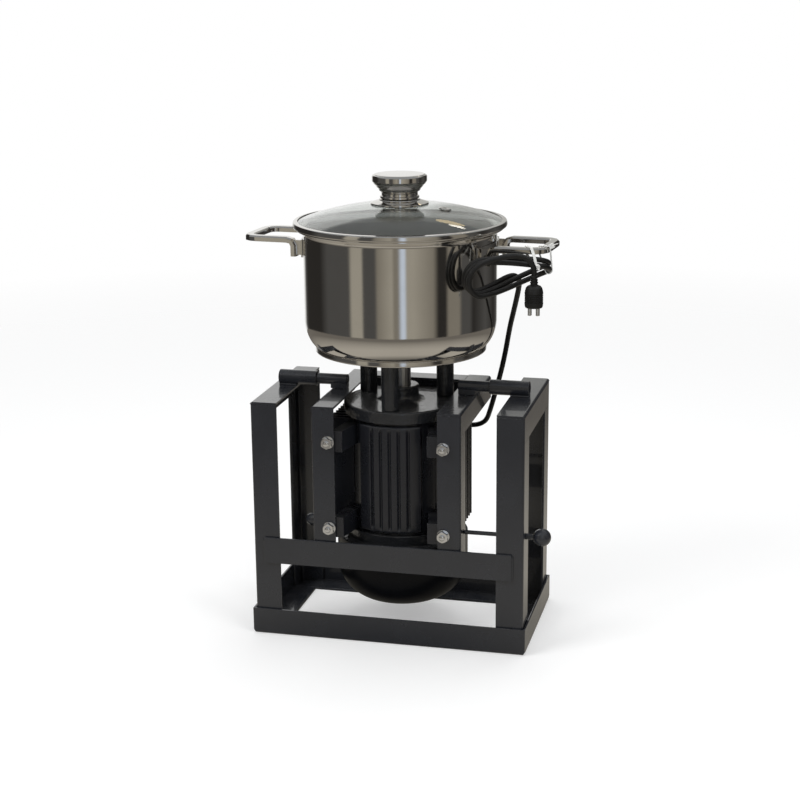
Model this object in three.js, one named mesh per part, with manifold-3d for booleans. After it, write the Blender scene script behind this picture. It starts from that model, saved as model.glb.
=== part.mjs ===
// Meat paste grinder: a lidded steel pot on a foot mounted motor, hung in a welded stand so that it tips.
// Millimetres, +Z up, front towards -Y. The origin lies on the floor under the middle of the object.

import * as THREE from 'three';
import Module from 'manifold-3d';
import { mergeVertices } from 'three/addons/utils/BufferGeometryUtils.js';

const wasm = await Module();
wasm.setup();

// Fits, shared by all pieces
const weldGap = 0.3;
const runningGap = 0.4;
const cutOverrun = 2;
const holeSides = 12;
const roundSides = 20;
const lidSides = 24;
const potSides = 36;

// Stand of angle iron
const standWidth = 344;
const standDepth = 190;
const standHeight = 305;
const standLeg = 34;
const standWall = 3;
const heelRadius = 3.5;
const rootRadius = 3;
const baseRoot = 0.25;
const middleBarHeight = 34;
const middleBarWall = 3;
const middleBarMidHeight = 113;
const middleBarInset = 14.5;
const baseCornerCut = 5;

// Tilt pivot: sleeves on the stand, rods on the cradle
const sleeveDiameter = 19;
const sleeveLength = 50;
const sleeveInset = 10;
const sleeveWeldWidth = 12;
const rodDiameter = 14;
const rodInset = 22;
const rodStandOff = 4;
const saddleWidth = 12;
const rodSleeveOverlapShare = 0.9;

// Cradle of lighter angle iron
const cradleWidth = 188;
const cradleRear = 101;
const cradleLeg = 29;
const cradleWall = 3;
const cradleStopGap = 0.5;
const cradlePostBottom = 104;
const bossDiameter = 17;
const bossLength = 13;
const bossHeight = 152;
const bossShares = [[1, 0.35], [0.86, 0.7], [0.6, 0.93], [0, 1]];

// Lock pin through the right front post
const pinDiameter = 5.2;
const pinHoleDiameter = 6.6;
const pinHeight = 149;
const pinDepth = 17;
const pinNeckDiameter = 8;
const pinNeckLength = 8;
const pinNeckRings = 3;
const pinKnobDiameter = 22;
const pinKnobFlat = 4;
const pinKnobCentre = 192;
const pinTipShare = 0.6;
const pinRibShare = 0.6;
const pinGrooveShare = 0.85;
const pinKnobSteps = 8;

// Motor
const motorAxisOffset = -2;
const housingBottom = 134;
const housingTop = 279;
const housingRadius = 66;
const housingBore = 110;
const bellyRadius = 73;
const bellyWidth = 77;
const bellyGrooves = 5;
const bellyGroovePitch = 12;
const bellyGrooveWidth = 3;
const bellyGrooveDepth = 4.5;
const finReach = 85;
const rearFinReach = 80;
const finRoot = 4;
const finTip = 2.2;
const finPitch = 11;
const sideFins = 8;
const rearFins = 6;
const footSpan = 145;
const footPitch = 111;
const footLowerBolt = 148;
const footPadHalf = 13;
const footPadThickness = 9;
const footPadWidth = 32;
const footWebWidth = 13;
const footPadInset = 3;
const footWebShare = 0.42;
const footSlopeShare = 0.4;
const finStartShare = 0.8;
const finEnvelopeShare = 1.06;
const boltDiameter = 8;
const boltHoleDiameter = 8.8;
const boltAcrossFlats = 13;
const boltHeadHeight = 5.3;
const nutHeight = 6.5;
const washerDiameter = 16;
const washerThickness = 1.6;
const boltEnd = 3;
const boltTipShare = 0.7;
const boltTipRise = 0.4;
const nutEdgeShare = 0.85;
const boltPocketShare = 0.7;

// End shields, bearings, stator
const shieldRadius = 73;
const topShieldHeight = 15;
const bossRadius = 22;
const bossRise = 19;
const bottomShieldHeight = 14;
const skirtHeight = 8;
const shieldSpigot = 4;
const shieldEdge = 2.19;
const bossFlareShare = 1.25;
const bearingOuter = 21;
const bearingBore = 10.3;
const bearingWidth = 11;
const bearingGrooveShare = 1 / 6;
const statorBore = 82;
const statorLength = 96;
const statorMiddle = 207;
const windingShare = 0.25;
const windingRiseShare = 0.14;

// Fan and cowl
const cowlRadius = 84;
const cowlWall = 1.5;
const cowlBottom = 27;
const cowlCornerRadius = 40;
const cowlSlots = 12;
const cowlSlotWidth = 5;
const cowlSlotInner = 14;
const cowlSlotOuter = 44;
const fanRadius = 66;
const fanHubRadius = 14;
const fanPlate = 2.5;
const fanBladeHeight = 20;
const fanBladeThickness = 2.5;
const fanBlades = 7;
const fanBottom = 74;
const fanPlateShare = 0.7;
const fanRootShare = 0.8;

// Rotor and shaft
const rotorLength = 90;
const rotorAirGap = 0.8;
const shaftRadius = 10;
const shaftCollarRadius = 12;
const shaftEndRadius = 8;
const shaftCollarTop = 352;
const shaftTop = 420;

// Terminal box
const boxWidth = 64;
const boxHeight = 80;
const boxBottom = 174;
const boxDepth = 27;
const boxWall = 2.5;
const boxCover = 5;
const boxCorner = 6;
const seatReach = 84;
const seatInset = 4;
const glandHeight = 236;
const glandHexRadius = 10;
const glandHexLength = 4;
const glandNutRadius = 8.4;
const glandNutLength = 6;
const reliefLength = 20;
const reliefTipRadius = 4.3;
const glandDomeShare = 0.6;
const glandNeckShare = 0.7;

// Columns and pot
const columnDiameter = 22;
const columnCircle = 58;
const columnAngles = [270, 150, 30];
const potBottom = 359.4;
const potRadius = 120;
const potTop = 515;
const potWall = 1.5;
const potBaseInset = 12.8;
const potBaseHeight = 6.6;
const potFloor = 368;
const potCurveHeight = 40;
const potCurveReach = 30;
const potLipReach = 9;
const potLipSeatReach = 4;
const potLipDrop = 9;
const potFlareShare = 0.55;
const potSeatShare = 0.4;
const sealHoleRadius = 18;
const sealFlangeRadius = 25;
const sealFlangeHeight = 3;

// Pot handles
const handleReach = 196;
const handleSpread = 76;
const handleTop = 501;
const handleHeight = 7;
const handleWidth = 12;
const handleWall = 1.8;
const handleCorner = 17;
const handleDrop = 24;
const handleLegOffset = 5;
const handleBend = 9;
const handleTurn = -5;
const handlePlateHeight = 22;
const handlePlateWall = 2;
const handlePlateSpan = 46;
const handleSteps = 34;
const handleCrownShare = 0.55;

// Lid
const glassOverhang = 8;
const glassEdge = 520.5;
const glassTop = 543.5;
const glassWall = 3.5;
const glassHoleRadius = 5.3;
const rimBandReach = 4.5;
const rimBandLip = 3.6;
const rimBandWall = 1.2;
const ventRadius = 62;
const ventAngle = -14;
const ventHoleRadius = 5;
const ventFlangeRadius = 7.5;
const ventBoreRadius = 1.8;
const ventFlange = 0.48;
const seatRadius = 36;
const seatCollarRadius = 19.5;
const seatFlareShares = [[1.1, 1.5], [1, 2]];
const seatTop = 548;
const knobRadius = 34;
const knobNeckRadius = 22;
const knobTop = 579;
const knobBore = 3.3;
const knobBoreDepth = 18;
const knobNeckShares = [[0.92, 0], [1.02, 0.06], [0.97, 0.14], [1, 0.28], [1.14, 0.42]];
const knobHeadShares = [[0.9, 0.62], [0.985, 0.72], [1, 0.8], [1, 0.88], [0.96, 0.95], [0.8, 0.98]];
const clampRadius = 27;
const clampScrewRadius = 3;
const clampHeadRadius = 6;
const clampDrop = 8;
const clampHeadShare = 0.4;
const screwDepthShare = 0.8;

// Blades
const hubRadius = 15;
const hubBottom = 373;
const hubHeight = 62;
const bladeThickness = 2.5;
const bladeReach = 104;
const bladeWidth = 24;
const lowerBladeRise = 5;
const upperBladeShare = 0.5;
const upperBladeReach = 86;
const bladeEyeShare = 1.45;
const bladeFrontShares = [0.6, -0.9, 1, 0.5];
const bladeBackShares = [0.62, 0.1, 0.4, 0.42];
const hubCrownShares = [[1, 0.8], [0.9, 0.35], [0.6, 0.08], [0, 0]];

// Mains cord: lead from the gland to the handle, hank of three loops, plug, two ties
const cordDiameter = 6.5;
const leadSides = 8;
const leadSteps = 32;
const leadPoints = [
  [79, 96.6, 237.6], [87.5, 93.3, 242.2], [93.2, 88.3, 249.2], [97.5, 81.5, 259], [102, 74, 271],
  [107, 66, 286], [112.5, 58, 303], [118, 50, 321], [123, 42.5, 339], [127.5, 35, 357],
  [131.5, 27, 374], [136, 17.5, 391.5], [141.5, 7, 410], [147, -3.5, 429], [151.5, -13.5, 446],
  [153.6, -24, 457.5], [151.5, -34, 464], [147.2, -41, 466],
];
const hankFacing = -58;
const hankStandOff = 15;
const hankLeft = 58;
const hankRight = 120;
const hankLeftHeight = 467;
const hankRightHeight = 476;
const hankFold = 20.5;
const hankLoops = 3;
const hankPitch = 7.6;
const hankStart = 88;
const hankTwistFrom = 4;
const hankTwistTo = 72;
const hankTwistStart = 24;
const hankTwistEnd = 158;
const hankEnd = 92;
const hankEndOut = 6.5;
const hankEndRise = 15;
const hankEndRun = 55;
const hankPoints = 150;
const hankDropRadius = 19.8;
const hankSides = 6;
const hankSteps = 84;
const plugReliefLength = 11;
const plugReliefRadius = 5;
const plugLength = 27;
const plugRadius = 11;
const plugFaceRadius = 9.5;
const plugPinRadius = 2.4;
const plugPinLength = 10;
const plugPinSpacing = 9.5;
const plugNeckShare = 0.8;
const plugBodyShares = [[0.8, 0.08], [1, 0.3], [1, 0.75]];
const tieHeadShare = 1.5;
const tieWidth = 3.6;
const tieThickness = 1.2;
const tieEndClear = 3.5;
const tieEndRoom = 4.5;
const tieCorner = 3;
const tieHead = 5;
const tieNearLow = 475.5;
const tieEndLow = 466;
const tieNearInner = 125.5;
const tieNearAlong = 116;
const tieEndAlong = -26;

// Worked out from the sizes above
const up = new THREE.Vector3(0, 0, 1);
const halfWidth = standWidth / 2;
const halfDepth = standDepth / 2;
const ringInner = weldGap;
const ringX = halfWidth + ringInner + standWall;
const ringY = halfDepth + ringInner + standWall;
const pivotHeight = standHeight + weldGap + sleeveDiameter / 2;
const cradleTop = pivotHeight - rodDiameter / 2 - rodStandOff - weldGap;
const cradleFront = -(halfDepth + weldGap - cradleStopGap);
const cradleHalf = cradleWidth / 2;
const footFace = cradleFront + cradleWall + weldGap;
const pinY = cradleFront + pinDepth;
const pinTip = cradleHalf + weldGap;
const shieldTop = housingTop + weldGap + topShieldHeight;
const skirtTop = housingBottom - weldGap - bottomShieldHeight;
const columnTop = potBottom - weldGap;
const potLipRadius = potRadius + potLipReach;
const potLipSeat = potRadius + potLipSeatReach;
const potBaseRadius = potRadius - potBaseInset;
const glassRadius = potRadius + glassOverhang;
const rimBandRadius = glassRadius + rimBandReach;
const lowerBladeHeight = hubBottom + lowerBladeRise;
const upperBladeHeight = hubBottom + hubHeight * upperBladeShare;
const tieEndInner = handleReach - handleWidth - tieEndClear;
const tieEndReach = handleReach + tieEndRoom;
const hankDistance = potRadius + hankStandOff;
const lidSeat = potTop + weldGap;

// Finishes
const finish = (color, roughness, metalness) => ({ color, roughness, metalness });
const greyPaint = finish(0x3a3b3d, 0.45, 0.2);
const motorPaint = finish(0x2f3032, 0.6, 0.2);
const blackPaint = finish(0x141415, 0.4, 0.2);
const polishedSteel = finish(0xc4c4bf, 0.12, 1);
const brightBolt = finish(0xb4b4b0, 0.3, 1);
const machinedSteel = finish(0x8d8f92, 0.35, 1);
const copper = finish(0x9a5a2c, 0.5, 0.6);
const glass = finish(0xdfe8e4, 0.05, 0);
const blackRubber = finish(0x101010, 0.6, 0);
const whiteNylon = finish(0xe8e8e2, 0.5, 0);

// A closed three.js geometry as a solid that can be joined and cut
function solid(geometry) {
  const bare = geometry.clone();
  bare.deleteAttribute('normal');
  bare.deleteAttribute('uv');
  const merged = mergeVertices(bare);
  const corners = merged.index.array;
  const triangles = [];
  for (let i = 0; i < corners.length; i += 3) {
    const [a, b, c] = [corners[i], corners[i + 1], corners[i + 2]];
    if (a !== b && b !== c && c !== a) triangles.push(a, b, c);
  }
  const vertProperties = new Float32Array(merged.attributes.position.array);
  const triVerts = new Uint32Array(triangles);
  return new wasm.Manifold(new wasm.Mesh({ numProp: 3, vertProperties, triVerts }));
}

// A solid back as a three.js geometry
function geometryOf(body) {
  const { vertProperties, triVerts } = body.getMesh();
  const geometry = new THREE.BufferGeometry();
  geometry.setAttribute('position', new THREE.BufferAttribute(new Float32Array(vertProperties), 3));
  geometry.setIndex(new THREE.BufferAttribute(new Uint32Array(triVerts), 1));
  geometry.computeVertexNormals();
  return geometry;
}

// Adds one named piece to a group
function addPiece(group, name, body, look) {
  const mesh = new THREE.Mesh(geometryOf(body), new THREE.MeshStandardMaterial(look));
  mesh.name = name;
  group.add(mesh);
  return mesh;
}

// A box between two limits on each axis
function block(x0, x1, y0, y1, z0, z1) {
  const geometry = new THREE.BoxGeometry(Math.abs(x1 - x0), Math.abs(y1 - y0), Math.abs(z1 - z0));
  geometry.translate((x0 + x1) / 2, (y0 + y1) / 2, (z0 + z1) / 2);
  return solid(geometry);
}

// A body turned about +Z from [radius, height] points; the outline closes on itself or on the axis
function revolveGeometry(outline, sides) {
  const ends = [outline[0], outline[outline.length - 1]];
  const closed = ends.some(([radius]) => radius > 0) ? [...outline, outline[0]] : outline;
  let area = 0;
  closed.forEach(([radius, height], i) => {
    const [nextRadius, nextHeight] = closed[(i + 1) % closed.length];
    area += radius * nextHeight - nextRadius * height;
  });
  const ordered = area > 0 ? closed : [...closed].reverse();
  const points = ordered.map(([radius, height]) => new THREE.Vector2(radius, height));
  return new THREE.LatheGeometry(points, sides).rotateX(Math.PI / 2);
}

function revolve(outline, sides = roundSides) {
  return solid(revolveGeometry(outline, sides));
}

// A round bar or a ring between two heights
function disc(radius, z0, z1, sides = roundSides) {
  return revolve([[0, z0], [radius, z0], [radius, z1], [0, z1]], sides);
}

function ring(inner, outer, z0, z1, sides = roundSides) {
  return revolve([[inner, z0], [outer, z0], [outer, z1], [inner, z1]], sides);
}

// Places a geometry so that its own x, y and z run along the given directions from an origin
function place(geometry, xAxis, yAxis, zAxis, origin) {
  const basis = new THREE.Matrix4().makeBasis(xAxis, yAxis, zAxis).setPosition(origin);
  return solid(geometry.clone().applyMatrix4(basis));
}

const vec = (x, y, z) => new THREE.Vector3(x, y, z);

// A revolved body whose axis runs along a direction from an origin
function revolveAlong(outline, direction, origin, sides = roundSides) {
  const turn = new THREE.Quaternion().setFromUnitVectors(up, direction);
  const geometry = revolveGeometry(outline, sides).applyQuaternion(turn);
  return solid(geometry.translate(origin.x, origin.y, origin.z));
}

function barAlong(radius, length, direction, origin, sides = roundSides) {
  return revolveAlong([[0, 0], [radius, 0], [radius, length], [0, length]], direction, origin, sides);
}

// Equal leg angle iron: rounded heel outside, root fillet inside, rounded toes
function angleShape(leg, wall, root) {
  const toe = wall / 2;
  const shape = new THREE.Shape();
  shape.moveTo(heelRadius, 0);
  shape.lineTo(leg, 0);
  shape.lineTo(leg, wall - toe);
  shape.absarc(leg - toe, wall - toe, toe, 0, Math.PI / 2, false);
  shape.lineTo(wall + root, wall);
  shape.absarc(wall + root, wall + root, root, -Math.PI / 2, -Math.PI, true);
  shape.lineTo(wall, leg - toe);
  shape.absarc(wall - toe, leg - toe, toe, 0, Math.PI / 2, false);
  shape.lineTo(0, leg);
  shape.lineTo(0, heelRadius);
  shape.absarc(heelRadius, heelRadius, heelRadius, Math.PI, 1.5 * Math.PI, false);
  return shape;
}

// A length of angle iron from its heel, its two legs swapped where that keeps it right handed
function angleBar(heel, legA, legB, along, length, leg, wall, root = rootRadius) {
  const geometry = new THREE.ExtrudeGeometry(angleShape(leg, wall, root), {
    depth: length, bevelEnabled: false, curveSegments: 3,
  });
  const rightHanded = new THREE.Vector3().crossVectors(legA, legB).dot(along) > 0;
  const [xAxis, yAxis] = rightHanded ? [legA, legB] : [legB, legA];
  return place(geometry, xAxis, yAxis, along, heel);
}

// Stand: base ring, posts, top bars, middle bar
function baseLongBar(side) {
  const heel = vec(-ringX, side * ringY, 0);
  const along = vec(1, 0, 0);
  const bar = angleBar(heel, vec(0, -side, 0), up, along, 2 * ringX, standLeg, standWall, baseRoot);
  const cut = new THREE.Shape();
  cut.moveTo(-cutOverrun, -cutOverrun);
  cut.lineTo(baseCornerCut / 2, -cutOverrun);
  cut.lineTo(baseCornerCut / 2, 0);
  cut.lineTo(0, baseCornerCut);
  cut.lineTo(-cutOverrun, baseCornerCut);
  const depth = 2 * ringY + 2 * cutOverrun;
  const wedge = new THREE.ExtrudeGeometry(cut, { depth, bevelEnabled: false });
  const start = ringY + cutOverrun;
  const leftCut = place(wedge, vec(1, 0, 0), up, vec(0, -1, 0), vec(-ringX, start, 0));
  const rightCut = place(wedge, vec(-1, 0, 0), up, vec(0, 1, 0), vec(ringX, -start, 0));
  return bar.subtract(leftCut).subtract(rightCut);
}

function baseSideBar(side) {
  const reach = halfDepth;
  const heel = vec(side * ringX, -reach, 0);
  const along = vec(0, 1, 0);
  const bar = angleBar(heel, vec(-side, 0, 0), up, along, 2 * reach, standLeg, standWall, baseRoot);
  const flange = ringY - standLeg - weldGap;
  const notch = (end) => block(
    -ringX - cutOverrun, ringX + cutOverrun,
    end * flange, end * (reach + cutOverrun),
    -cutOverrun, standWall + weldGap,
  );
  return bar.subtract(notch(1)).subtract(notch(-1));
}

// A post with its side flange cut short, so that the top bar's flange fits between the front flanges
function cornerPost(x, y, bottom, top, leg, wall) {
  const [sideX, sideY] = [Math.sign(x), Math.sign(y)];
  const heel = vec(x, y, bottom);
  const length = top - wall - weldGap - bottom;
  const post = angleBar(heel, vec(-sideX, 0, 0), vec(0, -sideY, 0), up, length, leg, wall);
  const notch = block(
    x - sideX * (leg + cutOverrun), x + sideX * cutOverrun,
    y - sideY * wall, y - sideY * (leg + cutOverrun),
    top - leg - weldGap, top + cutOverrun,
  );
  return post.subtract(notch);
}

// A top bar whose side flange stops behind the front flange of each post that it meets
function portalTopBar(x, front, rear, top, leg, wall, meetsRearPost) {
  const side = Math.sign(x);
  const heel = vec(x, front, top);
  const bar = angleBar(heel, vec(-side, 0, 0), vec(0, 0, -1), vec(0, 1, 0), rear - front, leg, wall);
  const notch = (from, to) => block(
    x - side * (leg + cutOverrun), x + side * cutOverrun,
    from, to, top - leg - cutOverrun, top - wall,
  );
  const shortened = bar.subtract(notch(front - cutOverrun, front + wall + weldGap));
  if (!meetsRearPost) return shortened;
  return shortened.subtract(notch(rear - wall - weldGap, rear + cutOverrun));
}

function middleBar() {
  const half = halfWidth - middleBarInset;
  const back = -(halfDepth + weldGap);
  const low = middleBarMidHeight - middleBarHeight / 2;
  return block(-half, half, back - middleBarWall, back, low, low + middleBarHeight);
}

// A sleeve across the top bar, with the weld that holds it down
function pivotSleeve(side) {
  const outer = halfWidth - sleeveInset;
  const inner = outer - sleeveLength;
  const radius = sleeveDiameter / 2;
  const bore = rodDiameter / 2 + weldGap;
  const start = vec(side * inner, 0, pivotHeight);
  const tube = barAlong(radius, sleeveLength, vec(side, 0, 0), start);
  const weldFrom = halfWidth - standLeg + weldGap;
  const weld = block(
    side * weldFrom, side * outer, -sleeveWeldWidth / 2, sleeveWeldWidth / 2,
    standHeight + weldGap, pivotHeight,
  );
  const hole = vec(side * (inner - cutOverrun), 0, pivotHeight);
  const holeLength = sleeveLength + 2 * cutOverrun;
  return tube.add(weld).subtract(barAlong(bore, holeLength, vec(side, 0, 0), hole));
}

// A pivot rod with the saddle that welds it to the cradle's top bar
function pivotRod(side) {
  const inner = cradleHalf - rodInset;
  const outer = halfWidth - sleeveInset - sleeveLength * (1 - rodSleeveOverlapShare);
  const rod = barAlong(rodDiameter / 2, outer - inner, vec(side, 0, 0), vec(side * inner, 0, pivotHeight));
  const saddle = block(
    side * inner, side * (cradleHalf - weldGap), -saddleWidth / 2, saddleWidth / 2,
    cradleTop + weldGap, pivotHeight,
  );
  return rod.add(saddle);
}

function standPost(sideX, sideY) {
  const post = cornerPost(
    sideX * halfWidth, sideY * halfDepth, standWall + weldGap, standHeight, standLeg, standWall,
  );
  if (sideX < 0 || sideY > 0) return post;
  const hole = vec(halfWidth - standWall - cutOverrun, pinY, pinHeight);
  const length = standWall + 2 * cutOverrun;
  const drill = barAlong(pinHoleDiameter / 2, length, vec(1, 0, 0), hole, holeSides);
  return post.subtract(drill);
}

function buildStand(group) {
  addPiece(group, 'base_bar_front', baseLongBar(-1), greyPaint);
  addPiece(group, 'base_bar_rear', baseLongBar(1), greyPaint);
  addPiece(group, 'base_bar_left', baseSideBar(-1), greyPaint);
  addPiece(group, 'base_bar_right', baseSideBar(1), greyPaint);
  const sides = [['left', -1], ['right', 1]];
  for (const [name, side] of sides) {
    addPiece(group, `post_front_${name}`, standPost(side, -1), greyPaint);
    addPiece(group, `post_rear_${name}`, standPost(side, 1), greyPaint);
    const top = portalTopBar(
      side * halfWidth, -halfDepth, halfDepth, standHeight, standLeg, standWall, true,
    );
    addPiece(group, `top_bar_${name}`, top, greyPaint);
    addPiece(group, `pivot_sleeve_${name}`, pivotSleeve(side), greyPaint);
  }
  addPiece(group, 'middle_bar_front', middleBar(), greyPaint);
}

// Cradle: front posts drilled for the motor feet, top bars, cross bar, rods
function cradlePost(side) {
  const post = cornerPost(
    side * cradleHalf, cradleFront, cradlePostBottom, cradleTop, cradleLeg, cradleWall,
  );
  const x = motorAxisOffset + side * footSpan / 2;
  const drill = (z) => barAlong(
    boltHoleDiameter / 2, cradleWall + 2 * cutOverrun, vec(0, 1, 0), vec(x, cradleFront - cutOverrun, z),
    holeSides,
  );
  const drilled = post.subtract(drill(footLowerBolt)).subtract(drill(footLowerBolt + footPitch));
  return side < 0 ? drilled.add(cradleBoss()) : drilled.subtract(lockHole());
}

function lockHole() {
  const start = vec(cradleHalf - cradleWall - cutOverrun, pinY, pinHeight);
  return barAlong(pinHoleDiameter / 2, cradleWall + 2 * cutOverrun, vec(1, 0, 0), start, holeSides);
}

// The rounded boss on the outside of the left post
function cradleBoss() {
  const radius = bossDiameter / 2;
  const crown = bossShares.map(([wide, high]) => [radius * wide, bossLength * high]);
  const outline = [[0, -cradleWall / 2], [radius, -cradleWall / 2], ...crown];
  return revolveAlong(outline, vec(-1, 0, 0), vec(-cradleHalf, pinY, bossHeight));
}

function rearCrossBar() {
  const half = cradleHalf - cradleLeg - weldGap;
  const heel = vec(-half, cradleRear, cradleTop);
  return angleBar(heel, vec(0, -1, 0), vec(0, 0, -1), vec(1, 0, 0), 2 * half, cradleLeg, cradleWall);
}

// Bolt from behind the foot, with washer and nut on the front of the post
function footBolt(side, z) {
  const x = motorAxisOffset + side * footSpan / 2;
  const headFace = footFace + footPadThickness + weldGap;
  const washerFace = cradleFront - weldGap;
  const nutFace = washerFace - washerThickness - nutHeight;
  const shank = headFace - (nutFace - boltEnd);
  const hexRadius = boltAcrossFlats / Math.sqrt(3);
  const front = vec(0, -1, 0);
  const head = barAlong(hexRadius, boltHeadHeight, vec(0, 1, 0), vec(x, headFace, z), 6);
  const radius = boltDiameter / 2;
  const stemOutline = [
    [0, -boltHeadHeight / 2], [radius, -boltHeadHeight / 2], [radius, shank - boltEnd / 2],
    [radius * boltTipShare, shank - boltTipRise], [0, shank],
  ];
  const stem = revolveAlong(stemOutline, front, vec(x, headFace, z), holeSides);
  const washer = barAlong(washerDiameter / 2, washerThickness, front, vec(x, washerFace, z));
  const nutOutline = [
    [0, -washerThickness / 2], [hexRadius, -washerThickness / 2], [hexRadius, nutHeight * nutEdgeShare],
    [boltAcrossFlats / 2, nutHeight], [0, nutHeight],
  ];
  const nut = revolveAlong(nutOutline, front, vec(x, washerFace - washerThickness, z), 6);
  return wasm.Manifold.union([head, stem, washer, nut]);
}

function buildCradle(group) {
  for (const [name, side] of [['left', -1], ['right', 1]]) {
    addPiece(group, `cradle_post_${name}`, cradlePost(side), greyPaint);
    const top = portalTopBar(
      side * cradleHalf, cradleFront, cradleRear, cradleTop, cradleLeg, cradleWall, false,
    );
    addPiece(group, `cradle_top_bar_${name}`, top, greyPaint);
    addPiece(group, `pivot_rod_${name}`, pivotRod(side), greyPaint);
    addPiece(group, `foot_bolt_lower_${name}`, footBolt(side, footLowerBolt), brightBolt);
    addPiece(group, `foot_bolt_upper_${name}`, footBolt(side, footLowerBolt + footPitch), brightBolt);
  }
  addPiece(group, 'cradle_cross_bar', rearCrossBar(), greyPaint);
}

// Lock pin: plain tip, ribbed neck, ball knob
function buildLock(group) {
  const neckStart = halfWidth + weldGap;
  const radius = pinDiameter / 2;
  const neck = pinNeckDiameter / 2;
  const ribStep = pinNeckLength / pinNeckRings;
  const outline = [[0, 0], [radius * pinTipShare, 0], [radius, radius], [radius, neckStart - pinTip]];
  for (let i = 0; i < pinNeckRings; i++) {
    const from = neckStart - pinTip + i * ribStep;
    const ribEnd = from + ribStep * pinRibShare;
    outline.push([neck, from], [neck, ribEnd], [neck * pinGrooveShare, ribEnd]);
    outline.push([neck * pinGrooveShare, from + ribStep]);
  }
  const knobFace = pinKnobCentre - Math.sqrt((pinKnobDiameter / 2) ** 2 - pinKnobFlat ** 2);
  outline.push([radius, neckStart - pinTip + pinNeckLength]);
  outline.push([radius, knobFace + pinKnobFlat - pinTip], [0, knobFace + pinKnobFlat - pinTip]);
  const origin = vec(pinTip, pinY, pinHeight);
  addPiece(group, 'lock_pin', revolveAlong(outline, vec(1, 0, 0), origin, holeSides), machinedSteel);
  addPiece(group, 'lock_pin_knob', lockKnob(knobFace), greyPaint);
}

// Ball with a flat face where the pin screws in
function lockKnob(knobFace) {
  const radius = pinKnobDiameter / 2;
  const start = Math.PI - Math.asin(pinKnobFlat / radius);
  const steps = pinKnobSteps;
  const bore = pinDiameter / 2 + weldGap;
  const depth = pinKnobFlat + weldGap;
  const outline = [[0, knobFace + depth], [bore, knobFace + depth], [bore, knobFace]];
  for (let i = 0; i <= steps; i++) {
    const angle = start * (1 - i / steps);
    outline.push([i === steps ? 0 : radius * Math.sin(angle), pinKnobCentre + radius * Math.cos(angle)]);
  }
  return revolveAlong(outline, vec(1, 0, 0), vec(0, pinY, pinHeight));
}

// Motor housing: core, grooved belly, tapered fins, seat for the terminal box, four feet
function fin(root, reach, direction, offset) {
  const shape = new THREE.Shape();
  const inner = housingRadius * finStartShare;
  shape.moveTo(-root / 2, 0);
  shape.lineTo(root / 2, 0);
  shape.lineTo(finTip / 2, reach - inner);
  shape.lineTo(-finTip / 2, reach - inner);
  const geometry = new THREE.ExtrudeGeometry(shape, {
    depth: housingTop - housingBottom - 2 * root, bevelEnabled: false,
  });
  const across = new THREE.Vector3().crossVectors(direction, up);
  const origin = direction.clone().multiplyScalar(inner).addScaledVector(across, offset);
  origin.z = housingBottom + root;
  return place(geometry, across, direction, up, origin);
}

function finRow(count, direction, reach) {
  const fins = [];
  for (let i = 0; i < count; i++) {
    const offset = (i - (count - 1) / 2) * finPitch;
    const envelope = Math.min(reach, Math.sqrt((reach * finEnvelopeShare) ** 2 - offset ** 2));
    fins.push(fin(finRoot, envelope, direction, offset));
  }
  return fins;
}

function groovedBelly() {
  const height = [housingBottom + finRoot, housingTop - finRoot];
  const drum = disc(bellyRadius, ...height, potSides);
  const keep = block(-bellyWidth / 2, bellyWidth / 2, -bellyRadius - cutOverrun, 0, ...height);
  let belly = drum.intersect(keep);
  for (let i = 0; i < bellyGrooves; i++) {
    const x = (i - (bellyGrooves - 1) / 2) * bellyGroovePitch;
    const floor = Math.sqrt(bellyRadius ** 2 - x ** 2) - bellyGrooveDepth;
    const groove = block(
      x - bellyGrooveWidth / 2, x + bellyGrooveWidth / 2,
      -bellyRadius - cutOverrun, -floor, height[0] + bellyGrooveWidth, height[1] - bellyGrooveWidth,
    );
    belly = belly.subtract(groove);
  }
  return belly;
}

// A foot: pad behind the post, web back to the core with a sloped inner side
function foot(side, z) {
  const centre = side * footSpan / 2;
  const padFrom = centre - side * (footPadWidth / 2 + footPadInset);
  const padTo = padFrom + side * footPadWidth;
  const shape = new THREE.Shape();
  const back = footFace + footPadThickness;
  const webBack = -housingRadius * footWebShare;
  const lowZ = z - footPadHalf;
  shape.moveTo(padFrom, footFace);
  shape.lineTo(padTo, footFace);
  shape.lineTo(padTo, back);
  shape.lineTo(padFrom + side * footWebWidth, back);
  shape.lineTo(padFrom + side * footWebWidth * footSlopeShare, webBack);
  shape.lineTo(padFrom - side * footWebWidth, webBack);
  shape.lineTo(padFrom, back - footPadThickness / 3);
  const geometry = new THREE.ExtrudeGeometry(shape, { depth: 2 * footPadHalf, bevelEnabled: false });
  const body = solid(geometry.translate(0, 0, lowZ));
  const hole = vec(centre, footFace - cutOverrun, z);
  const length = footPadThickness + 2 * cutOverrun;
  return body.subtract(barAlong(boltHoleDiameter / 2, length, vec(0, 1, 0), hole, holeSides));
}

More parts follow.
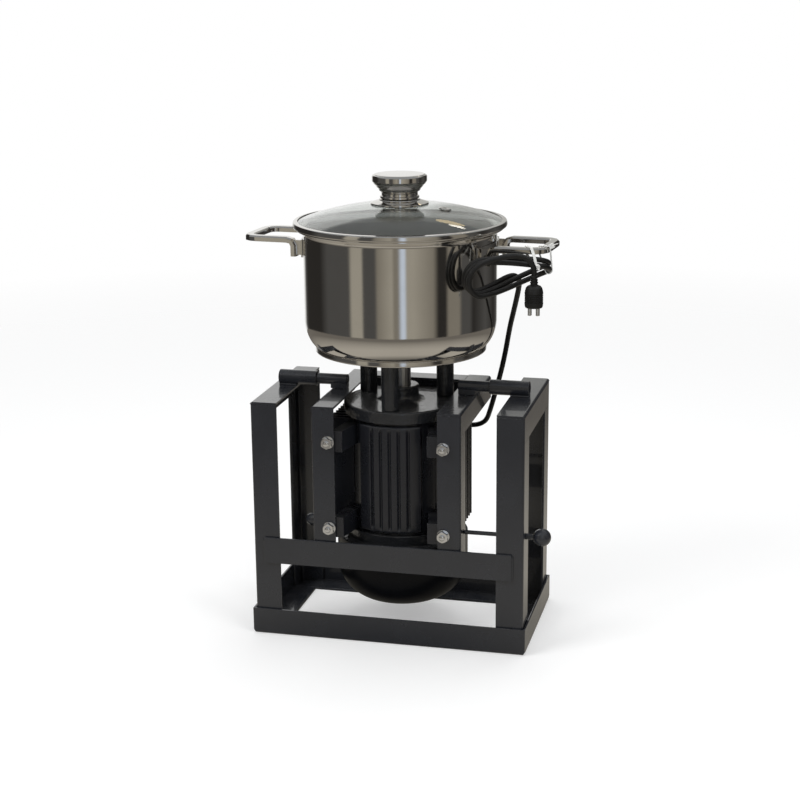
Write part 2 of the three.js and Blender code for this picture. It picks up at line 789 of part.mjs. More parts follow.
function motorHousing() {
  const core = disc(housingRadius, housingBottom, housingTop, potSides);
  const seat = block(
    -boxWidth / 2 + seatInset, boxWidth / 2 - seatInset, 0, seatReach,
    boxBottom + seatInset, boxBottom + boxHeight - seatInset,
  );
  const parts = [core, groovedBelly(), seat];
  parts.push(...finRow(sideFins, vec(1, 0, 0), finReach), ...finRow(sideFins, vec(-1, 0, 0), finReach));
  parts.push(...finRow(rearFins, vec(0, 1, 0), rearFinReach));
  for (const side of [-1, 1]) {
    parts.push(foot(side, footLowerBolt), foot(side, footLowerBolt + footPitch));
  }
  const bore = disc(housingBore / 2, housingBottom - cutOverrun, housingTop + cutOverrun, potSides);
  const bolts = [];
  for (const side of [-1, 1]) {
    for (const z of [footLowerBolt, footLowerBolt + footPitch]) bolts.push(boltPocket(side, z));
  }
  return wasm.Manifold.union(parts).subtract(wasm.Manifold.union([bore, ...bolts]));
}

// Room for the bolt head between the foot and the fins
function boltPocket(side, z) {
  const start = vec(side * footSpan / 2, footFace + footPadThickness, z);
  const radius = boltAcrossFlats * boltPocketShare;
  return barAlong(radius, boltHeadHeight + 2 * cutOverrun, vec(0, 1, 0), start, holeSides);
}

// Upper end shield: spigot in the bore, bearing pocket, rounded rim, boss round the shaft
function topEndShield() {
  const low = housingTop + weldGap;
  const spigot = housingBore / 2 - weldGap;
  const pocket = bearingOuter + weldGap;
  const edge = shieldEdge;
  return revolve([
    [pocket, low - shieldSpigot], [spigot, low - shieldSpigot], [spigot, low], [shieldRadius, low],
    [shieldRadius, shieldTop - edge], [shieldRadius - edge, shieldTop],
    [bossRadius * bossFlareShare, shieldTop],
    [bossRadius, shieldTop + edge], [bossRadius, shieldTop + bossRise - edge],
    [bossRadius - edge, shieldTop + bossRise], [shaftCollarRadius + runningGap, shieldTop + bossRise],
    [shaftCollarRadius + runningGap, low - shieldSpigot + bearingWidth + weldGap],
    [pocket, low - shieldSpigot + bearingWidth + weldGap],
  ], lidSides);
}

// Lower end shield with the skirt that carries the cowl
function bottomEndShield() {
  const high = housingBottom - weldGap;
  const low = skirtTop - skirtHeight;
  const spigot = housingBore / 2 - weldGap;
  const pocket = bearingOuter + weldGap;
  const skirt = cowlRadius - cowlWall - 2 * weldGap;
  const bearingTop = high + shieldSpigot;
  return revolve([
    [pocket, bearingTop], [spigot, bearingTop], [spigot, high], [shieldRadius, high],
    [shieldRadius, skirtTop], [skirt, skirtTop], [skirt, low], [skirt - standWall, low],
    [skirt - standWall, skirtTop - standWall], [bearingOuter + standWall, skirtTop - standWall],
    [bearingOuter, low], [shaftRadius + runningGap, low],
    [shaftRadius + runningGap, bearingTop - bearingWidth - weldGap],
    [pocket, bearingTop - bearingWidth - weldGap],
  ], lidSides);
}

function bearing(low) {
  const shoulder = bearingWidth * bearingGrooveShare;
  const mid = (bearingOuter + bearingBore) / 2;
  return revolve([
    [bearingBore, low], [mid - shoulder, low], [mid - shoulder, low + shoulder / 2],
    [mid + shoulder, low + shoulder / 2], [mid + shoulder, low], [bearingOuter, low],
    [bearingOuter, low + bearingWidth], [bearingBore, low + bearingWidth],
  ], roundSides);
}

// Stator core with its end windings
function stator() {
  const outer = housingBore / 2 - weldGap;
  const inner = statorBore / 2;
  const [low, high] = [statorMiddle - statorLength / 2, statorMiddle + statorLength / 2];
  const winding = (outer - inner) * windingShare;
  const windingRise = statorLength * windingRiseShare;
  return revolve([
    [inner, low], [inner + winding, low], [inner + winding, low - windingRise],
    [outer - winding, low - windingRise], [outer - winding, low], [outer, low], [outer, high],
    [outer - winding, high], [outer - winding, high + windingRise], [inner + winding, high + windingRise],
    [inner + winding, high], [inner, high],
  ], roundSides);
}

// Pressed cowl: straight rim, round corner, flat end with radial air slots
function fanCowl() {
  const steps = 6;
  const top = skirtTop - weldGap;
  const arc = (radius, wall) => {
    const points = [];
    for (let i = 0; i <= steps; i++) {
      const angle = (i / steps) * Math.PI / 2;
      points.push([
        cowlRadius - cowlCornerRadius + radius * Math.cos(angle),
        cowlBottom + cowlCornerRadius - radius * Math.sin(angle),
      ]);
    }
    return wall > 0 ? points.reverse() : points;
  };
  const outer = [[cowlRadius, top], ...arc(cowlCornerRadius, 0), [0, cowlBottom]];
  const inner = [
    [0, cowlBottom + cowlWall], ...arc(cowlCornerRadius - cowlWall, cowlWall), [cowlRadius - cowlWall, top],
  ];
  let cowl = revolve([...inner, ...outer], potSides);
  for (let i = 0; i < cowlSlots; i++) {
    const slot = new THREE.BoxGeometry(
      cowlSlotOuter - cowlSlotInner, cowlSlotWidth, cowlWall + 2 * cutOverrun,
    );
    slot.translate((cowlSlotOuter + cowlSlotInner) / 2, 0, cowlBottom + cowlWall / 2);
    slot.rotateZ((i / cowlSlots) * 2 * Math.PI);
    cowl = cowl.subtract(solid(slot));
  }
  return cowl;
}

// Radial fan on the lower end of the shaft
function fan() {
  const bore = shaftEndRadius + weldGap;
  const hub = ring(bore, fanHubRadius, fanBottom, fanBottom + fanBladeHeight + fanPlate, roundSides);
  const plateLow = fanBottom + fanBladeHeight;
  const plate = ring(bore, fanRadius * fanPlateShare, plateLow, plateLow + fanPlate);
  const blades = [];
  for (let i = 0; i < fanBlades; i++) {
    const length = fanRadius - fanHubRadius * fanRootShare;
    const blade = new THREE.BoxGeometry(length, fanBladeThickness, fanBladeHeight + fanPlate);
    blade.translate(fanRadius - length / 2, 0, fanBottom + (fanBladeHeight + fanPlate) / 2);
    blade.rotateZ((i / fanBlades) * 2 * Math.PI);
    blades.push(solid(blade));
  }
  return wasm.Manifold.union([hub, plate, ...blades]);
}

// Rotor core on its stepped shaft, which runs from the fan up through the pot's floor to the hub
function rotor() {
  const low = statorMiddle - rotorLength / 2;
  const high = statorMiddle + rotorLength / 2;
  const core = statorBore / 2 - rotorAirGap;
  const lowerSeat = skirtTop - skirtHeight - weldGap;
  const upperCollar = shieldTop + runningGap;
  const fanSeat = fanBottom + fanBladeHeight + fanPlate + weldGap;
  return revolve([
    [0, fanBottom - fanPlate], [shaftEndRadius, fanBottom - fanPlate], [shaftEndRadius, fanSeat],
    [shaftRadius, fanSeat], [shaftRadius, lowerSeat], [shaftRadius, low - finRoot],
    [shaftCollarRadius, low - finRoot], [shaftCollarRadius, low], [core, low], [core, high],
    [shaftCollarRadius, high], [shaftCollarRadius, high + finRoot], [shaftRadius, high + finRoot],
    [shaftRadius, upperCollar], [shaftCollarRadius, upperCollar], [shaftCollarRadius, shaftCollarTop],
    [shaftRadius, shaftCollarTop], [shaftRadius, hubBottom - weldGap],
    [shaftEndRadius, hubBottom - weldGap], [shaftEndRadius, shaftTop], [0, shaftTop],
  ], roundSides);
}

// Rounded rectangle, used by the terminal box
function roundedRectangle(width, height, corner) {
  const [w, h] = [width / 2, height / 2];
  const shape = new THREE.Shape();
  shape.moveTo(-w + corner, -h);
  shape.lineTo(w - corner, -h);
  shape.absarc(w - corner, -h + corner, corner, -Math.PI / 2, 0, false);
  shape.lineTo(w, h - corner);
  shape.absarc(w - corner, h - corner, corner, 0, Math.PI / 2, false);
  shape.lineTo(-w + corner, h);
  shape.absarc(-w + corner, h - corner, corner, Math.PI / 2, Math.PI, false);
  shape.lineTo(-w, -h + corner);
  shape.absarc(-w + corner, -h + corner, corner, Math.PI, 1.5 * Math.PI, false);
  return shape;
}

function rearPlate(width, height, corner, from, depth) {
  const geometry = new THREE.ExtrudeGeometry(roundedRectangle(width, height, corner), {
    depth, bevelEnabled: false, curveSegments: 4,
  });
  const centre = vec(0, from, boxBottom + boxHeight / 2);
  return place(geometry, vec(-1, 0, 0), up, vec(0, 1, 0), centre);
}

function terminalBox() {
  const from = seatReach + weldGap;
  const tray = rearPlate(boxWidth, boxHeight, boxCorner, from, boxDepth);
  const hollow = rearPlate(
    boxWidth - 2 * boxWall, boxHeight - 2 * boxWall, boxCorner - boxWall, from + boxWall, boxDepth,
  );
  return tray.subtract(hollow);
}

function terminalCover() {
  return rearPlate(boxWidth, boxHeight, boxCorner, seatReach + 2 * weldGap + boxDepth, boxCover);
}

const glandY = seatReach + weldGap + boxDepth / 2;
const glandStart = boxWidth / 2 + weldGap;
const glandLength = glandHexLength + glandNutLength + reliefLength;

// Gland: hexagon against the box, domed nut, tapered relief round the cord
function cordGland() {
  const origin = vec(glandStart, glandY, glandHeight);
  const hex = barAlong(glandHexRadius, glandHexLength, vec(1, 0, 0), origin, 6);
  const dome = revolveAlong([
    [0, glandHexLength / 2], [glandNutRadius, glandHexLength / 2],
    [glandNutRadius, glandHexLength + glandNutLength * glandDomeShare],
    [glandNutRadius * glandNeckShare, glandHexLength + glandNutLength],
    [reliefTipRadius, glandLength], [0, glandLength],
  ], vec(1, 0, 0), origin);
  return hex.add(dome);
}

function buildMotor(group) {
  addPiece(group, 'motor_housing', motorHousing(), motorPaint);
  addPiece(group, 'end_shield_top', topEndShield(), motorPaint);
  addPiece(group, 'end_shield_bottom', bottomEndShield(), motorPaint);
  addPiece(group, 'bearing_top', bearing(housingTop + weldGap - shieldSpigot), machinedSteel);
  const lowerBearing = housingBottom - weldGap + shieldSpigot - bearingWidth;
  addPiece(group, 'bearing_bottom', bearing(lowerBearing), machinedSteel);
  addPiece(group, 'stator', stator(), copper);
  addPiece(group, 'fan_cowl', fanCowl(), blackPaint);
  addPiece(group, 'terminal_box', terminalBox(), motorPaint);
  addPiece(group, 'terminal_box_cover', terminalCover(), motorPaint);
  addPiece(group, 'cord_gland', cordGland(), blackRubber);
  columnAngles.forEach((degrees, i) => {
    const angle = THREE.MathUtils.degToRad(degrees);
    const column = disc(columnDiameter / 2, shieldTop + weldGap, columnTop);
    const mesh = addPiece(group, `pot_column_${i + 1}`, column, motorPaint);
    mesh.position.set(columnCircle * Math.cos(angle), columnCircle * Math.sin(angle), 0);
  });
}

// Pot: bonded base disc, bellied lower wall, straight wall, rolled lip
function potBody() {
  const steps = 5;
  const wallCurve = (inset) => {
    const [reach, height] = [potCurveReach - inset, potCurveHeight - inset];
    const foot = inset > 0 ? potFloor : potBottom + potBaseHeight + potWall;
    const middle = potBottom + potCurveHeight;
    const last = Math.asin((middle - foot) / height);
    const points = [];
    for (let i = 0; i <= steps; i++) {
      const angle = last * (1 - i / steps);
      points.push([potRadius - potCurveReach + reach * Math.cos(angle), middle - height * Math.sin(angle)]);
    }
    return points;
  };
  const chamfer = potWall;
  const groove = potBottom + potBaseHeight;
  return revolve([
    [sealHoleRadius, potBottom], [potBaseRadius - chamfer, potBottom],
    [potBaseRadius, potBottom + chamfer], [potBaseRadius, groove - chamfer / 2],
    [potBaseRadius - chamfer, groove],
    ...wallCurve(0),
    [potRadius, potTop - potLipDrop], [potRadius + potWall, potTop - potLipDrop * potFlareShare],
    [potLipRadius - potWall, potTop - 2 * potWall], [potLipRadius, potTop - potWall],
    [potLipRadius, potTop], [potLipSeat, potTop], [potRadius, potTop - potLipDrop * potSeatShare],
    [potRadius - potWall, potTop - potLipDrop],
    ...wallCurve(potWall).reverse(),
    [sealHoleRadius, potFloor],
  ], potSides);
}

// Seal bush that clamps the floor round the shaft
function shaftSeal() {
  const bore = shaftRadius + runningGap;
  const stem = sealHoleRadius - weldGap;
  const low = potBottom - weldGap;
  const high = potFloor + weldGap;
  return revolve([
    [bore + potWall, low - sealFlangeHeight], [sealFlangeRadius, low - sealFlangeHeight],
    [sealFlangeRadius, low], [stem, low], [stem, high], [sealFlangeRadius, high],
    [sealFlangeRadius - potWall, high + sealFlangeHeight], [bore, high + sealFlangeHeight],
    [bore, low - sealFlangeHeight + potWall],
  ]);
}

// Straight runs with a curved corner of one radius at each inner point
function corneredPath(points, radius) {
  const path = new THREE.CurvePath();
  let from = points[0];
  for (let i = 1; i < points.length - 1; i++) {
    const before = points[i].clone().sub(points[i - 1]).normalize();
    const after = points[i + 1].clone().sub(points[i]).normalize();
    const start = points[i].clone().addScaledVector(before, -radius[i - 1]);
    const end = points[i].clone().addScaledVector(after, radius[i - 1]);
    path.add(new THREE.LineCurve3(from, start));
    path.add(new THREE.QuadraticBezierCurve3(start, points[i], end));
    from = end;
  }
  path.add(new THREE.LineCurve3(from, points[points.length - 1]));
  return path;
}

// Channel section: x across the strap, its closed and rounded side towards -y
function channelShape(width, height, wall) {
  const [w, h] = [width / 2, height / 2];
  const crown = h * handleCrownShare;
  const shape = new THREE.Shape();
  shape.moveTo(w, h);
  shape.lineTo(w - wall, h);
  shape.lineTo(w - wall, wall - h);
  shape.lineTo(wall - w, wall - h);
  shape.lineTo(wall - w, h);
  shape.lineTo(-w, h);
  shape.lineTo(-w, crown - h);
  shape.lineTo(crown - w, -h);
  shape.lineTo(w - crown, -h);
  shape.lineTo(w, crown - h);
  return shape;
}

// A handle along +X: two legs on a wall plate, two arms, an end bar, all one pressed channel
function potHandle() {
  const legX = potRadius + handleLegOffset;
  const middle = handleTop - handleHeight / 2;
  const endX = handleReach - handleWidth / 2;
  const half = handleSpread / 2;
  const foot = handleTop - handleDrop;
  const path = corneredPath([
    vec(legX, -half, foot), vec(legX, -half, middle), vec(endX, -half, middle),
    vec(endX, half, middle), vec(legX, half, middle), vec(legX, half, foot),
  ], [handleBend, handleCorner, handleCorner, handleBend]);
  const geometry = new THREE.ExtrudeGeometry(channelShape(handleWidth, handleHeight, handleWall), {
    steps: handleSteps, bevelEnabled: false, extrudePath: path,
  });
  const loop = solid(geometry);
  return loop.add(handlePlate(foot)).add(handlePads(legX, half, foot));
}

// The radius of a many sided hole whose flats stay clear of a round body
const around = (radius, sides) => radius / Math.cos(Math.PI / sides);

// The plate that follows the pot's wall behind both legs
function handlePlate(foot) {
  const inner = around(potRadius + weldGap, potSides);
  const high = foot + handlePlateHeight;
  const band = ring(inner, inner + handlePlateWall, foot, high, potSides);
  const reach = potRadius + 2 * handlePlateWall;
  return band.intersect(block(0, reach, -handlePlateSpan, handlePlateSpan, foot, high));
}

// Pads that join each leg to the plate
function handlePads(legX, half, foot) {
  const radius = potRadius + weldGap + handlePlateWall / 2;
  const pads = [-half, half].map((y) => {
    const wallX = Math.sqrt(radius ** 2 - (Math.abs(y) - handleWall) ** 2);
    return block(
      wallX, legX, y - handleWall, y + handleWall, foot + handleWall, foot + handlePlateHeight - handleWall,
    );
  });
  return wasm.Manifold.union(pads);
}

function buildPot(group) {
  addPiece(group, 'pot_body', potBody(), polishedSteel);
  addPiece(group, 'shaft_seal', shaftSeal(), blackRubber);
  const handle = potHandle();
  const right = addPiece(group, 'pot_handle_right', handle, polishedSteel);
  right.rotation.z = THREE.MathUtils.degToRad(handleTurn);
  const left = addPiece(group, 'pot_handle_left', handle, polishedSteel);
  left.rotation.z = THREE.MathUtils.degToRad(handleTurn + 180);
}

// Lid: domed glass with its two holes, steel band, vent, seat, knob, clamp screw
const domeRise = glassTop - glassEdge;
const domeRadius = (glassRadius ** 2 + domeRise ** 2) / (2 * domeRise);
const domeHeight = (radius) => glassTop - domeRadius + Math.sqrt(domeRadius ** 2 - radius ** 2);

function glassDome() {
  const steps = 6;
  const [outer, inner] = [[], []];
  for (let i = 0; i <= steps; i++) {
    const radius = glassHoleRadius + (glassRadius - glassHoleRadius) * (i / steps);
    outer.push([radius, domeHeight(radius)]);
    inner.push([radius, domeHeight(radius) - glassWall]);
  }
  const dome = revolve([...outer, ...inner.reverse()], potSides);
  const hole = disc(ventHoleRadius, glassEdge, glassTop + cutOverrun);
  return dome.subtract(ventPlace(hole));
}

// Stands a body on the glass at the vent, square to the dome
function ventPlace(body) {
  const angle = THREE.MathUtils.degToRad(ventAngle);
  const lean = Math.asin(ventRadius / domeRadius);
  const geometry = geometryOf(body).translate(0, 0, -domeHeight(0));
  geometry.rotateY(lean).translate(ventRadius, 0, domeHeight(ventRadius)).rotateZ(angle);
  return solid(geometry);
}

function lidVent() {
  const body = ventHoleRadius - weldGap;
  const top = domeHeight(0);
  const flange = ventFlange;
  return ventPlace(revolve([
    [ventBoreRadius, top - glassWall], [body, top - glassWall], [body, top + weldGap + flange],
    [ventFlangeRadius, top + weldGap + flange], [ventFlangeRadius - flange, top + weldGap + 3 * flange],
    [ventBoreRadius + flange, top + weldGap + 3 * flange], [ventBoreRadius, top + weldGap + 2 * flange],
  ], lidSides));
}

// Rolled steel band that grips the edge of the glass and rests on the pot's lip
function rimBand() {
  const groove = glassRadius + weldGap;
  const lip = glassRadius - rimBandLip;
  const under = glassEdge - glassWall - weldGap;
  const over = domeHeight(glassRadius) + weldGap;
  const lipOver = domeHeight(lip) + weldGap;
  return revolve([
    [lip, lidSeat], [rimBandRadius - rimBandWall, lidSeat], [rimBandRadius, lidSeat + rimBandWall],
    [rimBandRadius, over], [rimBandRadius - rimBandWall, over + rimBandWall], [lip, lipOver + rimBandWall],
    [lip, lipOver], [groove, over], [groove, under], [lip, under],
  ], potSides);
}

function knobSeat() {
  const bore = clampScrewRadius + weldGap;
  const low = domeHeight(glassHoleRadius) + weldGap;
  const edge = domeHeight(seatRadius) + weldGap;
  const middle = (glassHoleRadius + seatRadius) / 2;
  return revolve([
    [bore, low], [glassHoleRadius, low], [middle, domeHeight(middle) + weldGap], [seatRadius, edge],
    [seatRadius, edge + rimBandWall],
    ...seatFlareShares.map(([wide, high]) => [seatCollarRadius * wide, low + rimBandWall * high]),
    [seatCollarRadius, seatTop], [bore, seatTop],
  ], lidSides);
}

// Turned knob: waisted neck, flared skirt, shallow crowned top
function lidKnob() {
  const low = seatTop + weldGap;
  const rise = knobTop - low;
  return revolve([
    [0, low + knobBoreDepth], [knobBore, low + knobBoreDepth], [knobBore, low],
    ...knobNeckShares.map(([wide, high]) => [knobNeckRadius * wide, low + rise * high]),
    ...knobHeadShares.map(([wide, high]) => [knobRadius * wide, low + rise * high]), [0, knobTop],
  ], lidSides);
}

// Clamp plate and screw below the glass
function clampScrew() {
  const top = domeHeight(glassHoleRadius) - glassWall - weldGap;
  const edge = domeHeight(clampRadius) - glassWall - weldGap;
  const low = top - clampDrop;
  const screwTop = seatTop + knobBoreDepth * screwDepthShare;
  return revolve([
    [0, low], [clampHeadRadius, low], [clampHeadRadius, low + clampDrop * clampHeadShare],
    [clampRadius, edge - rimBandWall], [clampRadius, edge], [glassHoleRadius, top],
    [clampScrewRadius, top], [clampScrewRadius, screwTop], [0, screwTop],
  ], lidSides);
}

function buildLid(group) {
  addPiece(group, 'lid_glass', glassDome(), glass);
  addPiece(group, 'lid_rim_band', rimBand(), polishedSteel);
  addPiece(group, 'lid_vent', lidVent(), polishedSteel);
  addPiece(group, 'lid_knob_seat', knobSeat(), blackPaint);
  addPiece(group, 'lid_knob', lidKnob(), polishedSteel);
  addPiece(group, 'lid_clamp_screw', clampScrew(), polishedSteel);
}

// Sickle shaped cutter with two wings on a ring round the hub
function cutter(reach, height) {
  const wing = (turn) => {
    const shape = new THREE.Shape();
    shape.moveTo(0, -bladeWidth / 2);
    for (const [bendX, bendY, endX, endY] of [bladeFrontShares, bladeBackShares]) {
      shape.quadraticCurveTo(reach * bendX, bladeWidth * bendY, reach * endX, bladeWidth * endY);
    }
    shape.lineTo(0, bladeWidth / 2);
    const geometry = new THREE.ExtrudeGeometry(shape, {
      depth: bladeThickness, bevelEnabled: false, curveSegments: 10,
    });
    return solid(geometry.translate(0, 0, height).rotateZ(turn));
  };
  const eye = disc(hubRadius * bladeEyeShare, height, height + bladeThickness);
  const bore = disc(hubRadius + weldGap, height - cutOverrun, height + bladeThickness + cutOverrun);
  return wasm.Manifold.union([wing(0), wing(Math.PI), eye]).subtract(bore);
}

// Hub over the shaft's end, closed by a domed nut
function bladeHub() {
  const bore = shaftEndRadius + weldGap;
  const top = hubBottom + hubHeight;
  return revolve([
    [0, shaftTop + weldGap], [bore, shaftTop + weldGap], [bore, hubBottom], [hubRadius, hubBottom],
    ...hubCrownShares.map(([wide, drop]) => [hubRadius * wide, top - hubRadius * drop]),
  ]);
}

function buildTurning(group) {
  addPiece(group, 'rotor_shaft', rotor(), machinedSteel);
  addPiece(group, 'fan', fan(), blackPaint);
  addPiece(group, 'blade_hub', bladeHub(), polishedSteel);
  addPiece(group, 'cutter_lower', cutter(bladeReach, lowerBladeHeight), machinedSteel);
  const upper = addPiece(group, 'cutter_upper', cutter(upperBladeReach, upperBladeHeight), machinedSteel);
  upper.rotation.z = Math.PI / 2;
}

// Hank frame: outwards from the pot, along the runs, and up
const facing = THREE.MathUtils.degToRad(hankFacing);
const hankOut = vec(Math.cos(facing), Math.sin(facing), 0);
const hankAlong = vec(-Math.sin(facing), Math.cos(facing), 0);

// A point of the hank: s along the runs, spread across the loop, stack across its layers
function hankPoint(s, spread, stack) {
  const share = THREE.MathUtils.smoothstep(s, hankTwistStart, hankTwistEnd);
  const twist = THREE.MathUtils.degToRad(hankTwistFrom + (hankTwistTo - hankTwistFrom) * share);
  const middle = hankLeftHeight + (hankRightHeight - hankLeftHeight) * share;
  const out = hankDistance + spread * Math.sin(twist) + stack * Math.cos(twist);
  const height = middle + spread * Math.cos(twist) - stack * Math.sin(twist);
  return hankOut.clone().multiplyScalar(out).addScaledVector(hankAlong, s).addScaledVector(up, height);
}

// One lap's place at a distance walked: along the inner run, left fold, outer run, right fold
function hankLap(lap, stack) {
  const run = hankRight - hankLeft;
  const fold = Math.PI * hankFold;
  if (lap < run) return hankPoint(hankRight - lap, -hankFold, stack);
  if (lap < run + fold) {
    const angle = (lap - run) / hankFold;
    return hankPoint(hankLeft - hankFold * Math.sin(angle), -hankFold * Math.cos(angle), stack);
  }
  if (lap < 2 * run + fold) return hankPoint(hankLeft + lap - run - fold, hankFold, stack);
  const angle = (lap - 2 * run - fold) / hankFold;
  return hankPoint(hankRight + hankFold * Math.sin(angle), hankFold * Math.cos(angle), stack);
}

// The hank's route: laps laid side by side, the last one led outwards and up, then down to the plug
function hankRoute() {
  const run = hankRight - hankLeft;
  const fold = Math.PI * hankFold;
  const turn = 2 * run + 2 * fold;
  const total = hankStart - hankLeft + (hankLoops - 1) * turn + fold + hankEnd - hankLeft;
  const points = [];
  for (let i = 0; i <= hankPoints; i++) {
    const walked = (i / hankPoints) * total;
    const stack = hankPitch * (walked - total / 2) / turn;
    const point = hankLap((walked + hankRight - hankStart) % turn, stack);
    const share = THREE.MathUtils.smoothstep(walked, total - hankEndRun, total);
    point.addScaledVector(hankOut, hankEndOut * share).addScaledVector(up, hankEndRise * share);
    points.push(point);
  }
  return [...points, ...hankDrop(points)];
}

// The bend from the last run straight down, ending in one straight diameter
function hankDrop(points) {
  const last = points[points.length - 1];
  const heading = last.clone().sub(points[points.length - 3]).normalize();
  const level = vec(heading.x, heading.y, 0).normalize();
  const tilt = Math.asin(heading.z);
  const centre = last.clone().addScaledVector(level, Math.sin(tilt) * hankDropRadius);
  centre.z -= Math.cos(tilt) * hankDropRadius;
  const bend = [];
  const steps = 8;
  for (let i = 1; i <= steps; i++) {
    const angle = tilt + (i / steps) * (-Math.PI / 2 - tilt);
    const point = centre.clone().addScaledVector(level, -Math.sin(angle) * hankDropRadius);
    point.z += Math.cos(angle) * hankDropRadius;
    bend.push(point);
  }
  const end = bend[steps - 1];
  bend.push(end.clone().add(vec(0, 0, -cordDiameter / 2)));
  return bend;
}

function cordShape(sides) {
  const shape = new THREE.Shape();
  for (let i = 0; i < sides; i++) {
    const angle = (i / sides) * 2 * Math.PI;
    const [x, y] = [Math.cos(angle) * cordDiameter / 2, Math.sin(angle) * cordDiameter / 2];
    if (i === 0) shape.moveTo(x, y);
    else shape.lineTo(x, y);
  }
  return shape;
}

function cordTube(curve, sides, steps) {
  const geometry = new THREE.ExtrudeGeometry(cordShape(sides), {
    steps, bevelEnabled: false, extrudePath: curve,
  });
  return solid(geometry);
}

// The least clear distance between stretches of a curve that lie apart along it
function leastGap(curve) {
  const count = 600;
  const points = curve.getSpacedPoints(count);
  const apart = Math.ceil(3 * cordDiameter / (curve.getLength() / count));
  let least = Infinity;
  for (let i = 0; i < points.length; i++) {
    for (let j = i + apart; j < points.length; j++) least = Math.min(least, points[i].distanceTo(points[j]));
  }
  return least - cordDiameter;
}

// The tightest bend of a curve, as a radius
function tightestBend(curve) {
  const count = 300;
  const points = curve.getSpacedPoints(count);
  let least = Infinity;
  for (let i = 1; i < count; i++) {
    const [a, b, c] = [points[i - 1], points[i], points[i + 1]];
    const turn = b.clone().sub(a).angleTo(c.clone().sub(b));
    least = Math.min(least, b.distanceTo(a) / Math.max(turn, 1e-9));
  }
  return least;
}

// A strap loop of rounded rectangle outline round a handle bar and the cord below it, with its head
function cableTie(centre, across, width, low, high) {
  const height = high - low;
  const grown = 2 * tieThickness;
  const outer = roundedRectangle(width + grown, height + grown, tieCorner + tieThickness);
  outer.holes.push(new THREE.Path(roundedRectangle(width, height, tieCorner).getPoints(3).reverse()));
  const geometry = new THREE.ExtrudeGeometry(outer, {
    depth: tieWidth, bevelEnabled: false, curveSegments: 3,
  });
  geometry.translate(0, 0, -tieWidth / 2);
  const through = new THREE.Vector3().crossVectors(across, up);
  const middle = vec(centre.x, centre.y, (low + high) / 2);
  const strap = place(geometry, across, up, through, middle);
  const headX = width / 2 - tieCorner - tieHead / 2;
  const head = new THREE.BoxGeometry(tieHead, tieHead, tieWidth * tieHeadShare);
  head.translate(headX, -height / 2 - tieHead / 2, 0);
  return strap.add(place(head, across, up, through, middle));
}

function buildCord(group) {
  const route = hankRoute();
  const hankCurve = new THREE.CatmullRomCurve3(route, false, 'centripetal');
  const start = route[0];
  const heading = route[1].clone().sub(route[0]).normalize();
  const exit = vec(glandStart + glandLength + weldGap, glandY, glandHeight);
  const leadEnd = start.clone().addScaledVector(heading, -weldGap);
  const lead = [exit, exit.clone().add(vec(cordDiameter, 0, 0))];
  lead.push(...leadPoints.map(([x, y, z]) => vec(x, y, z)));
  lead.push(leadEnd.clone().addScaledVector(heading, -cordDiameter), leadEnd);
  const leadCurve = new THREE.CatmullRomCurve3(lead, false, 'centripetal');
  addPiece(group, 'cord_lead', cordTube(leadCurve, leadSides, leadSteps), blackRubber);
  addPiece(group, 'cord_hank', cordTube(hankCurve, hankSides, hankSteps), blackRubber);
  const end = route[route.length - 1].clone().add(vec(0, 0, -weldGap));
  addPiece(group, 'mains_plug', mainsPlug(end), blackRubber);
  const length = leadCurve.getLength() + hankCurve.getLength();
  console.log(`cord length ${length.toFixed(0)} mm, lead ${leadCurve.getLength().toFixed(0)} mm`);
  console.log(`hank least gap ${leastGap(hankCurve).toFixed(2)} mm`);
  const bends = [leadCurve, hankCurve].map((curve) => tightestBend(curve).toFixed(1));
  console.log(`tightest bends of lead and hank ${bends.join(', ')} mm`);
  return end;
}

// Plug: tapered relief, rounded body, two round pins
function mainsPlug(top) {
  const relief = plugReliefLength;
  const total = relief + plugLength;
  const down = vec(0, 0, -1);
  const body = revolveAlong([
    [0, 0], [plugReliefRadius * plugNeckShare, 0], [plugReliefRadius, relief],
    ...plugBodyShares.map(([wide, down]) => [plugRadius * wide, relief + plugLength * down]),
    [plugFaceRadius, total], [0, total],
  ], down, top);
  const pins = [-1, 1].map((side) => {
    const from = top.clone().add(vec(side * plugPinSpacing / 2, 0, -total + plugPinRadius));
    const length = plugPinLength + plugPinRadius;
    return revolveAlong([
      [0, 0], [plugPinRadius, 0], [plugPinRadius, length - plugPinRadius / 2],
      [plugPinRadius / 2, length], [0, length],
    ], down, from, holeSides);
  });
  return wasm.Manifold.union([body, ...pins]);
}

// Ties: one round the near arm and the outer runs, one round the end bar and the folds below it
function buildTies(group) {
  const clear = 2 * weldGap;
  const high = handleTop + clear;
  const nearFrom = tieNearInner;
  const nearTo = hankDistance + hankFold + cordDiameter / 2 + clear;
  const nearCentre = hankOut.clone().multiplyScalar((nearFrom + nearTo) / 2);
  nearCentre.addScaledVector(hankAlong, tieNearAlong);
  const near = cableTie(nearCentre, hankOut, nearTo - nearFrom, tieNearLow, high);
  addPiece(group, 'cable_tie_near', near, whiteNylon);
  const turn = THREE.MathUtils.degToRad(handleTurn);
  const handleOut = vec(Math.cos(turn), Math.sin(turn), 0);
  const handleSide = vec(-Math.sin(turn), Math.cos(turn), 0);
  const endCentre = handleOut.clone().multiplyScalar((tieEndInner + tieEndReach) / 2);
  endCentre.addScaledVector(handleSide, tieEndAlong);
  const end = cableTie(endCentre, handleOut, tieEndReach - tieEndInner, tieEndLow, high);
  addPiece(group, 'cable_tie_end', end, whiteNylon);
}

